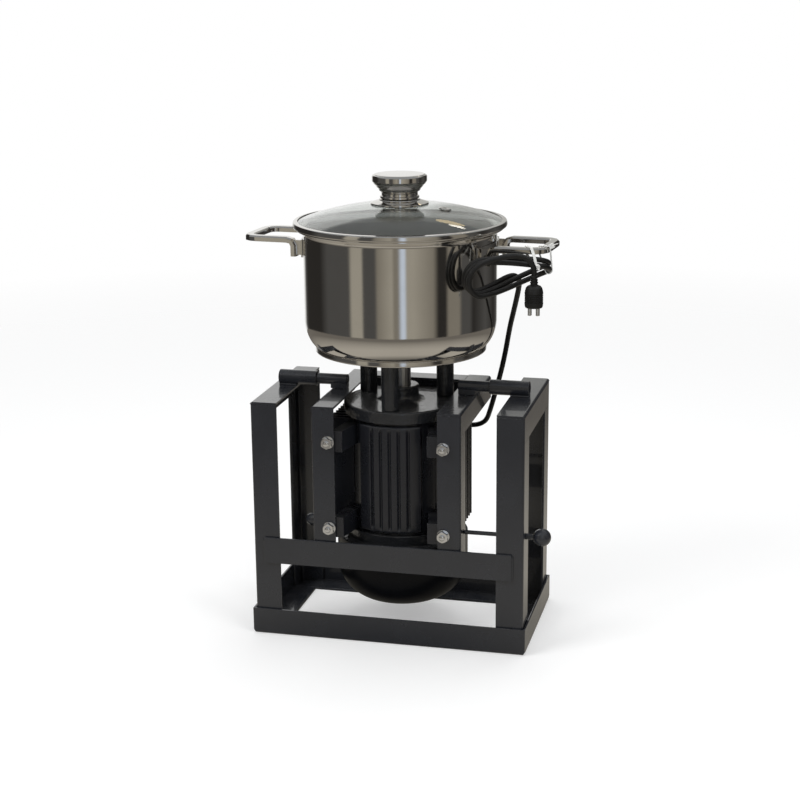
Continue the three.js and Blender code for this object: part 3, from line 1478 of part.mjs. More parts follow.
// Centres the object over its footprint, measured without the cord and what rides on it
function centreOnFootprint(group, left) {
  const footprint = new THREE.Box3();
  group.updateMatrixWorld(true);
  group.traverse((piece) => {
    if (piece.isMesh && !left.includes(piece.name)) footprint.expandByObject(piece, true);
  });
  group.position.x = -(footprint.min.x + footprint.max.x) / 2;
  group.position.y = -(footprint.min.y + footprint.max.y) / 2;
  const at = group.position.x.toFixed(3);
  console.log(`stand centre at x ${at}, y ${group.position.y.toFixed(3)}`);
}

const grinder = new THREE.Group();
grinder.name = 'meat_paste_grinder';
const tilting = new THREE.Group();
tilting.position.x = motorAxisOffset;
grinder.add(tilting);
buildStand(grinder);
buildCradle(grinder);
buildLock(grinder);
buildMotor(tilting);
buildPot(tilting);
buildLid(tilting);
buildTurning(tilting);
buildCord(tilting);
buildTies(tilting);
centreOnFootprint(grinder, ['cord_lead', 'cord_hank', 'mains_plug', 'cable_tie_near', 'cable_tie_end']);

export default grinder;
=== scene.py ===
"""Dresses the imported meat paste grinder, adds its cord and plug, and sets up the studio."""

import logging
import math
from dataclasses import dataclass
from enum import Enum
from typing import Sequence

import bmesh
import bpy
from mathutils import Matrix, Vector


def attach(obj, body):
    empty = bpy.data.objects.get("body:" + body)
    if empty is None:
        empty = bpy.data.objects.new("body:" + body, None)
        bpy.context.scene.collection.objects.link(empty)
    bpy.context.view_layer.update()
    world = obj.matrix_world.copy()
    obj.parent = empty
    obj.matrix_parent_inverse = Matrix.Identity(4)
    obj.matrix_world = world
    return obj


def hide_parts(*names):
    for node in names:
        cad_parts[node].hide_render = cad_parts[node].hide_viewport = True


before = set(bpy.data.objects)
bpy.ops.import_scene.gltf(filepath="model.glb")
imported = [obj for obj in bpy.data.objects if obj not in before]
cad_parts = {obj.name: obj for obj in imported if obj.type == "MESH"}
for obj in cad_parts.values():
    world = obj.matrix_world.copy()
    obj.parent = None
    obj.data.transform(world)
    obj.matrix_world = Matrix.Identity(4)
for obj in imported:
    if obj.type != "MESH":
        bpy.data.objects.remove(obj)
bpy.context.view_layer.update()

log = logging.getLogger("meat_paste_grinder")
Point = tuple[float, float, float]
Colour = tuple[float, float, float, float]
Outline = Sequence[tuple[float, float]]
Piece = bpy.types.Object
Socket = bpy.types.NodeSocket

MM = 0.001
TINY = 0.01 * MM  # The radius of a turned piece's poles, before they merge.
MERGE = 0.028 * MM  # Vertices closer than this become one.
FLAT = math.radians(1.5)  # Faces that meet at less than this become one.
UP, RIGHT = Vector((0.0, 0.0, 1.0)), Vector((1.0, 0.0, 0.0))
AHEAD = Vector((0.0, -1.0, 0.0))  # From the motor towards the camera's side.
# From the drawing to the model's frame, for what stands and for what tilts.
STAND_SHIFT = Vector((-2.0, 0.0, 0.0)) * MM
TILT_SHIFT = Vector((-4.0, 0.0, 0.0)) * MM

# Sides of turned pieces, by their size.
BEAD_SIDES, PIN_SIDES, ROD_SIDES, TUBE_SIDES, BALL_SIDES = 14, 24, 48, 64, 72
HUB_SIDES, SHIELD_SIDES, COVER_SIDES, HEXAGON = 96, 128, 144, 6
# Edges shallower than this many degrees are smooth: hexagons, most pieces, straps, weld beads.
CRISP, PLAIN, SOFT, MOLTEN = 10.0, 32.0, 50.0, 60.0

WHITE: Colour = (1.0, 1.0, 1.0, 1.0)
GRAPHITE: Colour = (0.019, 0.021, 0.0265, 1.0)
STAINLESS: Colour = (0.74, 0.72, 0.69, 1.0)
DUST_GREY: Colour = (0.30, 0.29, 0.27, 1.0)


class Body(Enum):
    """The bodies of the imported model."""

    STAND = "stand"
    CRADLE = "cradle"
    LID = "lid"
    ROTOR = "rotor"
    LOCK = "lock"


class Side(Enum):
    """Left and right, with the sign of x."""

    LEFT = -1
    RIGHT = 1

    @property
    def label(self) -> str:
        """The side's name within the names of pieces."""
        return self.name.lower()

    @property
    def outward(self) -> Vector:
        """The direction away from the middle."""
        return Vector((self.value, 0.0, 0.0))


class Nodes:
    """Adds shader nodes to one tree and joins them."""

    def __init__(self, tree: bpy.types.NodeTree) -> None:
        """Keeps the tree that the nodes go into."""
        self.tree = tree

    def put(self, kind: str, inputs: dict | None = None, **settings: object) -> bpy.types.Node:
        """Adds one node.

        Args:
            kind: The node's type, without its ShaderNode prefix.
            inputs: Values or sockets for its inputs, by name or number.
            **settings: Properties of the node itself.

        Returns:
            The new node.
        """
        node = self.tree.nodes.new("ShaderNode" + kind)
        for key, value in settings.items():
            setattr(node, key, value)
        for key, value in (inputs or {}).items():
            self.feed(node.inputs[key], value)
        return node

    def feed(self, socket: Socket, value: object) -> None:
        """Links a socket to another, or sets its value.

        Args:
            socket: The socket to feed.
            value: A socket or a plain value.
        """
        if isinstance(value, Socket):
            self.tree.links.new(value, socket)
        else:
            socket.default_value = value

    def maths(self, operation: str, first: object, second: object = 0.0) -> Socket:
        """The result of one Math node."""
        return self.put("Math", {0: first, 1: second}, operation=operation).outputs[0]

    def vectors(self, operation: str, first: object,
                second: object = (0.0, 0.0, 0.0)) -> bpy.types.Node:
        """One Vector Math node."""
        return self.put("VectorMath", {0: first, 1: second}, operation=operation)

    def ranged(self, value: object, low: object, high: object) -> Socket:
        """A value that runs from 0 at low to 1 at high."""
        return self.put("MapRange", {"Value": value, "From Min": low, "From Max": high}).outputs[0]

    def spread(self, value: object, low: float, high: float) -> Socket:
        """A value from 0 to 1 spread between two limits."""
        return self.put("MapRange", {"Value": value, "To Min": low, "To Max": high}).outputs[0]

    def noise(self, place: Socket, scale: object, detail: object, low: object,
              high: object) -> Socket:
        """Noise that runs from 0 at low to 1 at high.

        Args:
            place: The coordinates that it follows.
            scale: Its scale, per metre.
            detail: Its detail.
            low: The noise value taken as 0.
            high: The noise value taken as 1.

        Returns:
            The noise, from 0 to 1.
        """
        texture = self.put("TexNoise", {"Vector": place, "Scale": scale, "Detail": detail})
        return self.ranged(texture.outputs[0], low, high)

    def mixed(self, share: object, first: object, second: object) -> Socket:
        """Two colours mixed by a share.

        Args:
            share: A number or a socket; 0 gives the first colour.
            first: A colour or a socket.
            second: A colour or a socket.

        Returns:
            The mixed colour.
        """
        node = self.put("Mix", data_type="RGBA")
        colours = [s for s in node.inputs if s.type == "RGBA"]
        self.feed(node.inputs[0], share)
        self.feed(colours[0], first)
        self.feed(colours[1], second)
        return [s for s in node.outputs if s.type == "RGBA"][0]


class Effects:
    """The node groups that more than one finish uses, each built once."""

    made: dict[str, bpy.types.NodeTree] = {}

    @classmethod
    def start(cls, name: str, output: str, inputs: dict[str, float | Point]) -> Nodes:
        """A new group with its sockets.

        Args:
            name: The group's name.
            output: The name of its one output.
            inputs: Each input's default value; three numbers make it a vector.

        Returns:
            The group's nodes, ready for more.
        """
        tree = bpy.data.node_groups.new(name, "ShaderNodeTree")
        for label, default in inputs.items():
            kind = "NodeSocketVector" if isinstance(default, tuple) else "NodeSocketFloat"
            socket = tree.interface.new_socket(label, in_out="INPUT", socket_type=kind)
            socket.default_value = default
        tree.interface.new_socket(output, in_out="OUTPUT", socket_type="NodeSocketFloat")
        tree.nodes.new("NodeGroupInput").name = "given"
        tree.nodes.new("NodeGroupOutput").name = "result"
        cls.made[name] = tree
        return Nodes(tree)

    @staticmethod
    def ended(nodes: Nodes, value: Socket) -> bpy.types.NodeTree:
        """Joins a group's result to its output."""
        nodes.feed(nodes.tree.nodes["result"].inputs[0], value)
        return nodes.tree

    @staticmethod
    def use(nodes: Nodes, tree: bpy.types.NodeTree, **values: float | Point) -> Socket:
        """Places a group among a material's nodes.

        Args:
            nodes: The material's nodes.
            tree: The group.
            **values: The values of its inputs.

        Returns:
            The group's output.
        """
        group = nodes.put("Group", node_tree=tree)
        for label, value in values.items():
            group.inputs[label].default_value = value
        return group.outputs[0]

    @classmethod
    def edge_wear(cls) -> bpy.types.NodeTree:
        """A mask of edges where paint or polish has rubbed thin, broken up by noise.

        Returns:
            The group.
        """
        if "edge_wear" in cls.made:
            return cls.made["edge_wear"]
        nodes = cls.start("edge_wear", "Mask", {"Radius": MM, "Amount": 1.0, "Scale": 300.0})
        given = nodes.tree.nodes["given"].outputs
        soft = nodes.put("Bevel", {"Radius": given["Radius"]}, samples=4)
        hard = nodes.put("NewGeometry")
        likeness = nodes.vectors("DOT_PRODUCT", soft.outputs[0], hard.outputs["Normal"])
        turned = nodes.maths("SUBTRACT", 1.0, likeness.outputs["Value"])
        place = nodes.put("TexCoord").outputs["Object"]
        patchy = nodes.noise(place, given["Scale"], 3.0, 0.42, 0.68)
        both = nodes.maths("MULTIPLY", nodes.ranged(turned, 0.03, 0.16), patchy)
        return cls.ended(nodes, nodes.maths("MULTIPLY", both, given["Amount"]))

    @classmethod
    def grain(cls) -> bpy.types.NodeTree:
        """Noise on object coordinates, stretched: peel, brush lines, smudges or pores.

        Returns:
            The group.
        """
        if "grain" in cls.made:
            return cls.made["grain"]
        nodes = cls.start("grain", "Value", {"Scale": 100.0, "Stretch": (1.0, 1.0, 1.0),
                                             "Detail": 3.0, "Low": 0.3, "High": 0.7})
        given = nodes.tree.nodes["given"].outputs
        place = nodes.put("TexCoord").outputs["Object"]
        stretched = nodes.vectors("MULTIPLY", place, given["Stretch"]).outputs[0]
        level = nodes.noise(stretched, given["Scale"], given["Detail"], given["Low"], given["High"])
        return cls.ended(nodes, level)

    @classmethod
    def dust(cls) -> bpy.types.NodeTree:
        """A mask of thin dust that lies on what faces up.

        Returns:
            The group.
        """
        if "dust" in cls.made:
            return cls.made["dust"]
        nodes = cls.start("dust", "Mask", {"Amount": 0.2, "Scale": 60.0})
        given = nodes.tree.nodes["given"].outputs
        place = nodes.put("TexCoord").outputs
        facing = nodes.put("SeparateXYZ", {0: place["Normal"]}).outputs["Z"]
        patchy = nodes.noise(place["Object"], given["Scale"], 5.0, 0.35, 0.75)
        both = nodes.maths("MULTIPLY", nodes.ranged(facing, 0.35, 0.95), patchy)
        return cls.ended(nodes, nodes.maths("MULTIPLY", both, given["Amount"]))


@dataclass(frozen=True)
class Finish:
    """What every finish has: a name, the record's slot, a colour and a roughness."""

    name: str
    slot: str
    colour: Colour
    roughness: float

    def started(self) -> tuple[bpy.types.Material, Nodes, bpy.types.Node]:
        """A new material with its nodes and its Principled shader.

        Returns:
            The material, its nodes and the shader.
        """
        material = bpy.data.materials.new(self.name)
        material.use_nodes = True
        nodes = Nodes(material.node_tree)
        shader = next(n for n in material.node_tree.nodes if n.type == "BSDF_PRINCIPLED")
        return material, nodes, shader

    def grained(self, nodes: Nodes, scale: float, stretch: Point = (1.0, 1.0, 1.0),
                low: float = 0.3, high: float = 0.7, detail: float = 3.0) -> Socket:
        """One use of the grain group.

        Args:
            nodes: The material's nodes.
            scale: The noise's scale, per metre.
            stretch: How much faster the noise changes along each axis.
            low: The noise value taken as 0.
            high: The noise value taken as 1.
            detail: The noise's detail.

        Returns:
            The grain's value, from 0 to 1.
        """
        return Effects.use(nodes, Effects.grain(), Scale=scale, Stretch=stretch, Detail=detail,
                           Low=low, High=high)

    def tinted(self, share: float) -> Colour:
        """The finish's colour, made lighter or darker by a share."""
        return tuple(min(1.0, c * share) for c in self.colour[:3]) + (1.0,)

    def bumped(self, nodes: Nodes, shader: bpy.types.Node, height: Socket, distance: float) -> None:
        """Raises the surface by a pattern's value times a distance."""
        bump = nodes.put("Bump", {"Height": height, "Distance": distance, "Strength": 1.0})
        nodes.feed(shader.inputs["Normal"], bump.outputs[0])


@dataclass(frozen=True)
class Paint(Finish):
    """Sprayed paint on steel or cast metal: fine peel, rubbed edges, a little dust."""

    cloud_scale: float = 28.0
    lighter: float = 1.14
    darker: float = 0.88
    peel_scale: float = 900.0
    peel_height: float = 0.02 * MM
    spread: float = 0.05
    wear_radius: float = 0.8 * MM
    wear: float = 0.5
    bare: Colour = (0.20, 0.20, 0.21, 1.0)
    dust: float = 0.07
    dust_colour: Colour = (0.33, 0.32, 0.30, 1.0)
    dust_roughness: float = 0.35
    specular: float = 0.5
    coat: float = 0.0

    def build(self) -> bpy.types.Material:
        """The paint's material.

        Returns:
            The material.
        """
        material, nodes, shader = self.started()
        cloud = self.grained(nodes, self.cloud_scale, low=0.15, high=0.85, detail=5.0)
        base = nodes.mixed(cloud, self.tinted(self.darker), self.tinted(self.lighter))
        wear = Effects.use(nodes, Effects.edge_wear(), Radius=self.wear_radius, Amount=self.wear)
        worn = nodes.mixed(wear, base, self.bare)
        dust = Effects.use(nodes, Effects.dust(), Amount=self.dust)
        nodes.feed(shader.inputs["Base Color"], nodes.mixed(dust, worn, self.dust_colour))
        level = nodes.spread(cloud, self.roughness - self.spread, self.roughness + self.spread)
        dusty = nodes.maths("MULTIPLY", dust, self.dust_roughness)
        nodes.feed(shader.inputs["Roughness"], nodes.maths("ADD", level, dusty))
        self.bumped(nodes, shader, self.grained(nodes, self.peel_scale), self.peel_height)
        shader.inputs["Coat Weight"].default_value = self.coat
        shader.inputs["Specular IOR Level"].default_value = self.specular
        return material


@dataclass(frozen=True)
class Metal(Finish):
    """Bare metal with polishing or turning lines and smudges."""

    line_scale: float = 40.0
    line_stretch: Point = (1.0, 1.0, 60.0)
    line_height: float = 0.004 * MM
    line_share: float = 0.5
    smudge_scale: float = 18.0
    spread: float = 0.05
    stain: Colour = (0.55, 0.53, 0.50, 1.0)
    stain_share: float = 0.25

    def build(self) -> bpy.types.Material:
        """The metal's material.

        Returns:
            The material.
        """
        material, nodes, shader = self.started()
        lines = self.grained(nodes, self.line_scale, self.line_stretch)
        smudge = self.grained(nodes, self.smudge_scale, low=0.45, high=0.75, detail=5.0)
        share = nodes.maths("MULTIPLY", smudge, self.stain_share)
        nodes.feed(shader.inputs["Base Color"], nodes.mixed(share, self.colour, self.stain))
        shader.inputs["Metallic"].default_value = 1.0
        rough = nodes.spread(smudge, self.roughness, self.roughness + self.spread)
        lined = nodes.spread(lines, 0.0, self.spread * self.line_share)
        nodes.feed(shader.inputs["Roughness"], self.dulled(nodes, nodes.maths("ADD", rough, lined)))
        self.bumped(nodes, shader, lines, self.line_height)
        return material

    def dulled(self, nodes: Nodes, rough: Socket) -> Socket:
        """The roughness as it is; a kind of metal may change it by place."""
        return rough


@dataclass(frozen=True)
class PotSteel(Metal):
    """Stainless pot: mirror outside, satin brushed inside."""

    inside: float = 0.36
    lip_height: float = 0.5095
    floor_share: float = 0.5
    facing: float = 0.1

    def dulled(self, nodes: Nodes, rough: Socket) -> Socket:
        """Raises the roughness where the surface faces the pot's axis or lies on its floor.

        Args:
            nodes: The material's nodes.
            rough: The roughness outside.

        Returns:
            The roughness everywhere.
        """
        place = nodes.put("TexCoord").outputs
        flat = nodes.vectors("MULTIPLY", place["Object"], (1.0, 1.0, 0.0))
        away = nodes.vectors("NORMALIZE", flat.outputs[0])
        outward = nodes.vectors("DOT_PRODUCT", away.outputs[0], place["Normal"]).outputs["Value"]
        level = nodes.put("SeparateXYZ", {0: place["Normal"]}).outputs["Z"]
        inward = nodes.maths("SUBTRACT", nodes.maths("MULTIPLY", level, self.floor_share), outward)
        height = nodes.put("SeparateXYZ", {0: place["Object"]}).outputs["Z"]
        below = nodes.maths("LESS_THAN", height, self.lip_height)
        mask = nodes.maths("MULTIPLY", nodes.maths("GREATER_THAN", inward, self.facing), below)
        return nodes.maths("ADD", rough, nodes.maths("MULTIPLY", mask, self.inside))


@dataclass(frozen=True)
class Moulding(Finish):
    """Moulded rubber, nylon or phenolic plastic with fine pores."""

    cloud_scale: float = 45.0
    pore_scale: float = 1400.0
    pore_height: float = 0.015 * MM
    spread: float = 0.06
    variation: float = 0.15
    dust: float = 0.12

    def build(self) -> bpy.types.Material:
        """The moulding's material.

        Returns:
            The material.
        """
        material, nodes, shader = self.started()
        cloud = self.grained(nodes, self.cloud_scale)
        dust = Effects.use(nodes, Effects.dust(), Amount=self.dust)
        base = nodes.mixed(cloud, self.tinted(1.0 - self.variation),
                           self.tinted(1.0 + self.variation))
        nodes.feed(shader.inputs["Base Color"], nodes.mixed(dust, base, DUST_GREY))
        level = nodes.spread(cloud, self.roughness - self.spread, self.roughness + self.spread)
        nodes.feed(shader.inputs["Roughness"], level)
        self.bumped(nodes, shader, self.grained(nodes, self.pore_scale), self.pore_height)
        return material


@dataclass(frozen=True)
class LidGlass(Finish):
    """Tempered lid glass: clear, faintly green, with wiped smears."""

    smear_scale: float = 14.0
    smear: float = 0.02
    darker: float = 0.97
    index: float = 1.47

    def build(self) -> bpy.types.Material:
        """The glass's material.

        Returns:
            The material.
        """
        material, nodes, shader = self.started()
        smear = self.grained(nodes, self.smear_scale, low=0.4, high=0.8, detail=5.0)
        nodes.feed(shader.inputs["Base Color"],
                   nodes.mixed(smear, self.colour, self.tinted(self.darker)))
        rough = nodes.spread(smear, self.roughness, self.roughness + self.smear)
        nodes.feed(shader.inputs["Roughness"], rough)
        shader.inputs["Metallic"].default_value = 0.0
        shader.inputs["Transmission Weight"].default_value = 1.0
        shader.inputs["IOR"].default_value = self.index
        return material


class Palette:
    """Every finish of the grinder, each made into a material once."""

    stand_paint = Paint("stand_paint_satin", "stand_paint", GRAPHITE, 0.24, coat=0.6)
    cradle_paint = Paint("cradle_paint_satin", "cradle_paint", GRAPHITE, 0.24, coat=0.6)
    motor_paint = Paint("motor_paint_cast", "motor_paint", (0.013, 0.014, 0.018, 1.0), 0.28,
                        peel_scale=420.0, peel_height=0.07 * MM, coat=0.2)
    shield_paint = Paint("shield_paint_gloss", "motor_paint", (0.017, 0.018, 0.020, 1.0), 0.20,
                         peel_scale=170.0, peel_height=0.5 * MM, coat=0.5)
    cowl_paint = Paint("cowl_paint_gloss", "cowl_paint", (0.0045, 0.0048, 0.006, 1.0), 0.30,
                       specular=0.14, wear=0.2, dust=0.08)
    polished = Metal("polished_stainless", "polished_steel", STAINLESS, 0.055)
    pot_steel = PotSteel("pot_stainless", "polished_steel", STAINLESS, 0.05)
    bright = Metal("zinc_bright", "bright_steel", (0.86, 0.87, 0.89, 1.0), 0.13, line_scale=900.0,
                   line_stretch=(1.0, 1.0, 1.0), line_height=0.01 * MM, smudge_scale=120.0,
                   spread=0.10, stain_share=0.1)
    ground = Metal("ground_steel", "ground_steel", (0.56, 0.57, 0.58, 1.0), 0.26, line_scale=260.0,
                   line_stretch=(0.15, 6.0, 6.0), line_height=0.012 * MM, spread=0.10)
    winding = Metal("copper_winding", "winding", (0.50, 0.21, 0.09, 1.0), 0.38, line_scale=300.0,
                    line_stretch=(1.0, 1.0, 12.0), line_height=0.2 * MM)
    rubber = Moulding("black_rubber_satin", "black_rubber", (0.006, 0.006, 0.006, 1.0), 0.38,
                      dust=0.05)
    plastic = Moulding("black_plastic_satin", "black_plastic", (0.030, 0.031, 0.032, 1.0), 0.38)
    nylon = Moulding("white_nylon_translucent", "white_nylon", (0.78, 0.78, 0.75, 1.0), 0.36,
                     variation=0.03, dust=0.04)
    glass = LidGlass("lid_glass_clear", "lid_glass", (0.93, 0.96, 0.94, 1.0), 0.0)

    made: dict[str, bpy.types.Material] = {}

    @classmethod
    def material(cls, finish: Finish) -> bpy.types.Material:
        """The finish's material, built the first time it is asked for.

        Args:
            finish: The finish.

        Returns:
            Its material.
        """
        if finish.name not in cls.made:
            cls.made[finish.name] = finish.build()
        return cls.made[finish.name]


class Bench:
    """Shapes primitives in edit mode, as by hand."""

    @staticmethod
    def clear() -> None:
        """Leaves edit mode with nothing selected."""
        active = bpy.context.view_layer.objects.active
        if active is not None and active.mode != "OBJECT":
            bpy.ops.object.mode_set(mode="OBJECT")
        bpy.ops.object.select_all(action="DESELECT")

    @staticmethod
    def take(piece: Piece) -> None:
        """Selects one piece alone and makes it active.

        Args:
            piece: The piece.
        """
        Bench.clear()
        piece.select_set(True)
        bpy.context.view_layer.objects.active = piece

    @staticmethod
    def settle(piece: Piece, name: str, smooth: float = PLAIN) -> Piece:
        """Applies the piece's place, names it and smooths its shallow edges.

        Args:
            piece: The piece.
            name: Its name.
            smooth: Edges shallower than this many degrees are smooth.

        Returns:
            The piece.
        """
        Bench.take(piece)
        bpy.ops.object.transform_apply(location=True, rotation=True, scale=True)
        bpy.ops.object.shade_smooth_by_angle(angle=math.radians(smooth))
        piece.name = name
        piece.data.name = name
        return piece

    @staticmethod
    def turned(name: str, outline: Outline, sides: int, axis: Vector = UP,
               origin: Vector = Vector(), smooth: float = PLAIN) -> Piece:
        """Turns an outline: a circle is extruded and scaled from point to point.

        Args:
            name: The piece's name.
            outline: Radius and height of each point, in metres.
            sides: The number of sides.
            axis: The direction that the height runs in.
            origin: Where the height starts.
            smooth: Edges shallower than this many degrees are smooth.

        Returns:
            The closed piece.
        """
        Bench.clear()
        outline = supported(outline)
        radius, height = max(outline[0][0], TINY), outline[0][1]
        bpy.ops.mesh.primitive_circle_add(vertices=sides, radius=radius,
                                          location=(0.0, 0.0, height))
        piece = bpy.context.active_object
        bpy.ops.object.transform_apply(location=True, rotation=False, scale=False)
        bpy.ops.object.mode_set(mode="EDIT")
        bpy.ops.mesh.select_all(action="SELECT")
        for next_radius, next_height in outline[1:]:
            scale = max(next_radius, TINY) / radius
            bpy.ops.mesh.extrude_region_move(
                TRANSFORM_OT_translate={"value": (0.0, 0.0, next_height - height)})
            bpy.ops.transform.resize(value=(scale, scale, 1.0),
                                     center_override=(0.0, 0.0, next_height))
            radius, height = max(next_radius, TINY), next_height
        Bench.close()
        bpy.ops.object.mode_set(mode="OBJECT")
        turn = UP.rotation_difference(axis).to_matrix().to_4x4()
        piece.matrix_world = Matrix.Translation(origin) @ turn
        return Bench.settle(piece, name, smooth)

    @staticmethod
    def close() -> None:
        """Merges doubles in edit mode and turns all faces outwards."""
        bpy.ops.mesh.select_all(action="SELECT")
        bpy.ops.mesh.remove_doubles(threshold=MERGE)
        bpy.ops.mesh.normals_make_consistent(inside=False)

    @staticmethod
    def spot(vertex: bmesh.types.BMVert) -> Point:
        """A vertex's place, rounded to look it up by."""
        return tuple(round(c, 9) for c in vertex.co)

    @staticmethod
    def skin(name: str, rings: Sequence[Sequence[Vector]], loop: bool = False,
             smooth: float = PLAIN) -> Piece:
        """Lays a circle on the first ring and extrudes it from ring to ring.

        Args:
            name: The piece's name.
            rings: Rings of points, all with the same count.
            loop: True where the last ring meets the first.
            smooth: Edges shallower than this many degrees are smooth.

        Returns:
            The closed piece.
        """
        Bench.clear()
        bpy.ops.mesh.primitive_circle_add(vertices=len(rings[0]), radius=1.0)
        piece = bpy.context.active_object
        bpy.ops.object.mode_set(mode="EDIT")
        mesh = bmesh.from_edit_mesh(piece.data)
        mesh.verts.ensure_lookup_table()
        current = list(mesh.verts)
        for vertex, point in zip(current, rings[0]):
            vertex.co = point
        if not loop:
            bpy.ops.mesh.select_all(action="SELECT")
            bpy.ops.mesh.edge_face_add()
        for ring in list(rings[1:]) + ([rings[0]] if loop else []):
            mesh = bmesh.from_edit_mesh(piece.data)
            places = {Bench.spot(v): i for i, v in enumerate(current)}
            bpy.ops.mesh.select_all(action="DESELECT")
            edges = {frozenset((current[i], current[i - 1])) for i in range(len(current))}
            for vertex in current:
                vertex.select = True
            for edge in mesh.edges:
                edge.select = frozenset(edge.verts) in edges
            bpy.ops.mesh.extrude_edges_move()
            mesh = bmesh.from_edit_mesh(piece.data)
            grown = [v for v in mesh.verts if v.select]
            order = [None] * len(grown)
            for vertex in grown:
                order[places[Bench.spot(vertex)]] = vertex
            for vertex, point in zip(order, ring):
                vertex.co = point
            current = order
        if not loop:
            bpy.ops.mesh.edge_face_add()
        bmesh.update_edit_mesh(piece.data)
        Bench.close()
        bpy.ops.object.mode_set(mode="OBJECT")
        return Bench.settle(piece, name, smooth)

    @staticmethod
    def block(name: str, low: Vector, high: Vector, bevel: float = 0.5 * MM,
              segments: int = 3) -> Piece:
        """A box between two corners with rounded edges.

        Args:
            name: The piece's name.
            low: Its lowest corner.
            high: Its highest corner.
            bevel: The edges' radius.
            segments: The steps across an edge.

        Returns:
            The piece.
        """
        Bench.clear()
        bpy.ops.mesh.primitive_cube_add(size=1.0, location=(low + high) / 2, scale=high - low)
        piece = bpy.context.active_object
        bpy.ops.object.transform_apply(location=True, rotation=True, scale=True)
        return Bench.bevelled(piece, name, bevel, segments)

    @staticmethod
    def bevelled(piece: Piece, name: str, width: float, segments: int = 2,
                 angle: float = 30.0) -> Piece:
        """Rounds the piece's sharp edges with an applied bevel.

        Args:
            piece: The piece.
            name: Its name.
            width: The bevel's width.
            segments: The steps across it.
            angle: Edges sharper than this many degrees are rounded.

        Returns:
            The piece.
        """
        Bench.take(piece)
        bevel = piece.modifiers.new("edges", "BEVEL")
        bevel.width = width
        bevel.segments = segments
        bevel.limit_method = "ANGLE"
        bevel.angle_limit = math.radians(angle)
        bpy.ops.object.modifier_apply(modifier=bevel.name)
        Bench.settle(piece, name)
        return Bench.flattened(piece)

    @staticmethod
    def flattened(piece: Piece) -> Piece:
        """Keeps flat faces flat beside their rounded edges.

        Args:
            piece: A piece with rounded edges.

        Returns:
            The same piece.
        """
        Bench.take(piece)
        flats = piece.modifiers.new("flats", "WEIGHTED_NORMAL")
        flats.keep_sharp = True
        bpy.ops.object.modifier_apply(modifier=flats.name)
        return piece

    @staticmethod
    def taken(node: str, name: str) -> Piece:
        """A merged copy of a CAD node's mesh, ready to be shaped.

        Args:
            node: The node's name.
            name: The copy's name.

        Returns:
            The copy.
        """
        Bench.clear()
        piece = bpy.data.objects.new(name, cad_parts[node].data.copy())
        piece.matrix_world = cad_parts[node].matrix_world.copy()
        bpy.context.scene.collection.objects.link(piece)
        Bench.take(piece)
        bpy.ops.object.mode_set(mode="EDIT")
        Bench.close()
        bpy.ops.mesh.dissolve_limited(angle_limit=FLAT)
        bpy.ops.object.mode_set(mode="OBJECT")
        piece.data.materials.clear()
        return piece

    @staticmethod
    def copied(piece: Piece, name: str, place: Matrix) -> Piece:
        """A copy with its own mesh, moved by a matrix.

        Args:
            piece: The piece to copy.
            name: The copy's name.
            place: Where the copy goes.

        Returns:
            The copy.
        """
        Bench.take(piece)
        bpy.ops.object.duplicate(linked=False)
        copy = bpy.context.active_object
        copy.matrix_world = place
        return Bench.settle(copy, name)

    @staticmethod
    def cut(piece: Piece, cutter: Piece, operation: str = "DIFFERENCE") -> None:
        """Cuts or keeps what a second piece covers, and removes that piece.

        Args:
            piece: The piece to cut.
            cutter: The piece that cuts it.
            operation: DIFFERENCE to cut, INTERSECT to keep what is covered.
        """
        Bench.take(piece)
        cutting = piece.modifiers.new("cut", "BOOLEAN")
        cutting.object = cutter
        cutting.operation = operation
        cutting.solver = "EXACT"
        bpy.ops.object.modifier_apply(modifier=cutting.name)
        bpy.data.objects.remove(cutter)


def rounded(corners: Sequence[Point], steps: int = 6,
            most: float = 0.49) -> list[tuple[float, float]]:
    """An outline with its corners rounded.

    Args:
        corners: Radius, height and fillet of each corner; no fillet at 0.
        steps: The steps across each fillet.
        most: The largest share of a side that a fillet takes.

    Returns:
        The outline's points.
    """
    points: list[tuple[float, float]] = []
    for i, (radius, height, fillet) in enumerate(corners):
        corner = Vector((radius, height))
        if fillet <= 0.0 or i in (0, len(corners) - 1):
            points.append((radius, height))
            continue
        before = Vector(corners[i - 1][:2]) - corner
        after = Vector(corners[i + 1][:2]) - corner
        reach = min(fillet, most * before.length, most * after.length)
        start = corner + before.normalized() * reach
        end = corner + after.normalized() * reach
        for step in range(steps + 1):
            share = step / steps
            point = start.lerp(corner, share).lerp(corner.lerp(end, share), share)
            points.append((point.x, point.y))
    return points


def supported(outline: Outline, guard: float = 0.35 * MM,
              long: float = 2.2 * MM) -> list[tuple[float, float]]:
    """An outline with a point close to both ends of each long run, for straight shading.

    Args:
        outline: The outline's points, in metres.
        guard: How close the new points lie.
        long: Runs longer than this get them.

    Returns:
        The outline with its new points.
    """
    points = [tuple(outline[0])]
    for start, end in zip(outline, outline[1:]):
        first, last = Vector(start), Vector(end)
        length = (last - first).length
        if length > long:
            points.append(tuple(first.lerp(last, guard / length)))
            points.append(tuple(last.lerp(first, guard / length)))
        points.append(tuple(end))
    return points


def scaled(outline: Outline) -> list[tuple[float, float]]:
    """An outline in millimetres turned into metres."""
    return [(radius * MM, height * MM) for radius, height in outline]


def place(x: float, y: float, z: float, shift: Vector = TILT_SHIFT) -> Vector:
    """A point of the drawing, in millimetres, placed in the model's frame."""
    return Vector((x, y, z)) * MM + shift


def smoothstep(value: float, low: float, high: float) -> float:
    """A value eased from 0 at low to 1 at high."""
    share = max(0.0, min(1.0, (value - low) / (high - low)))
    return share * share * (3.0 - 2.0 * share)


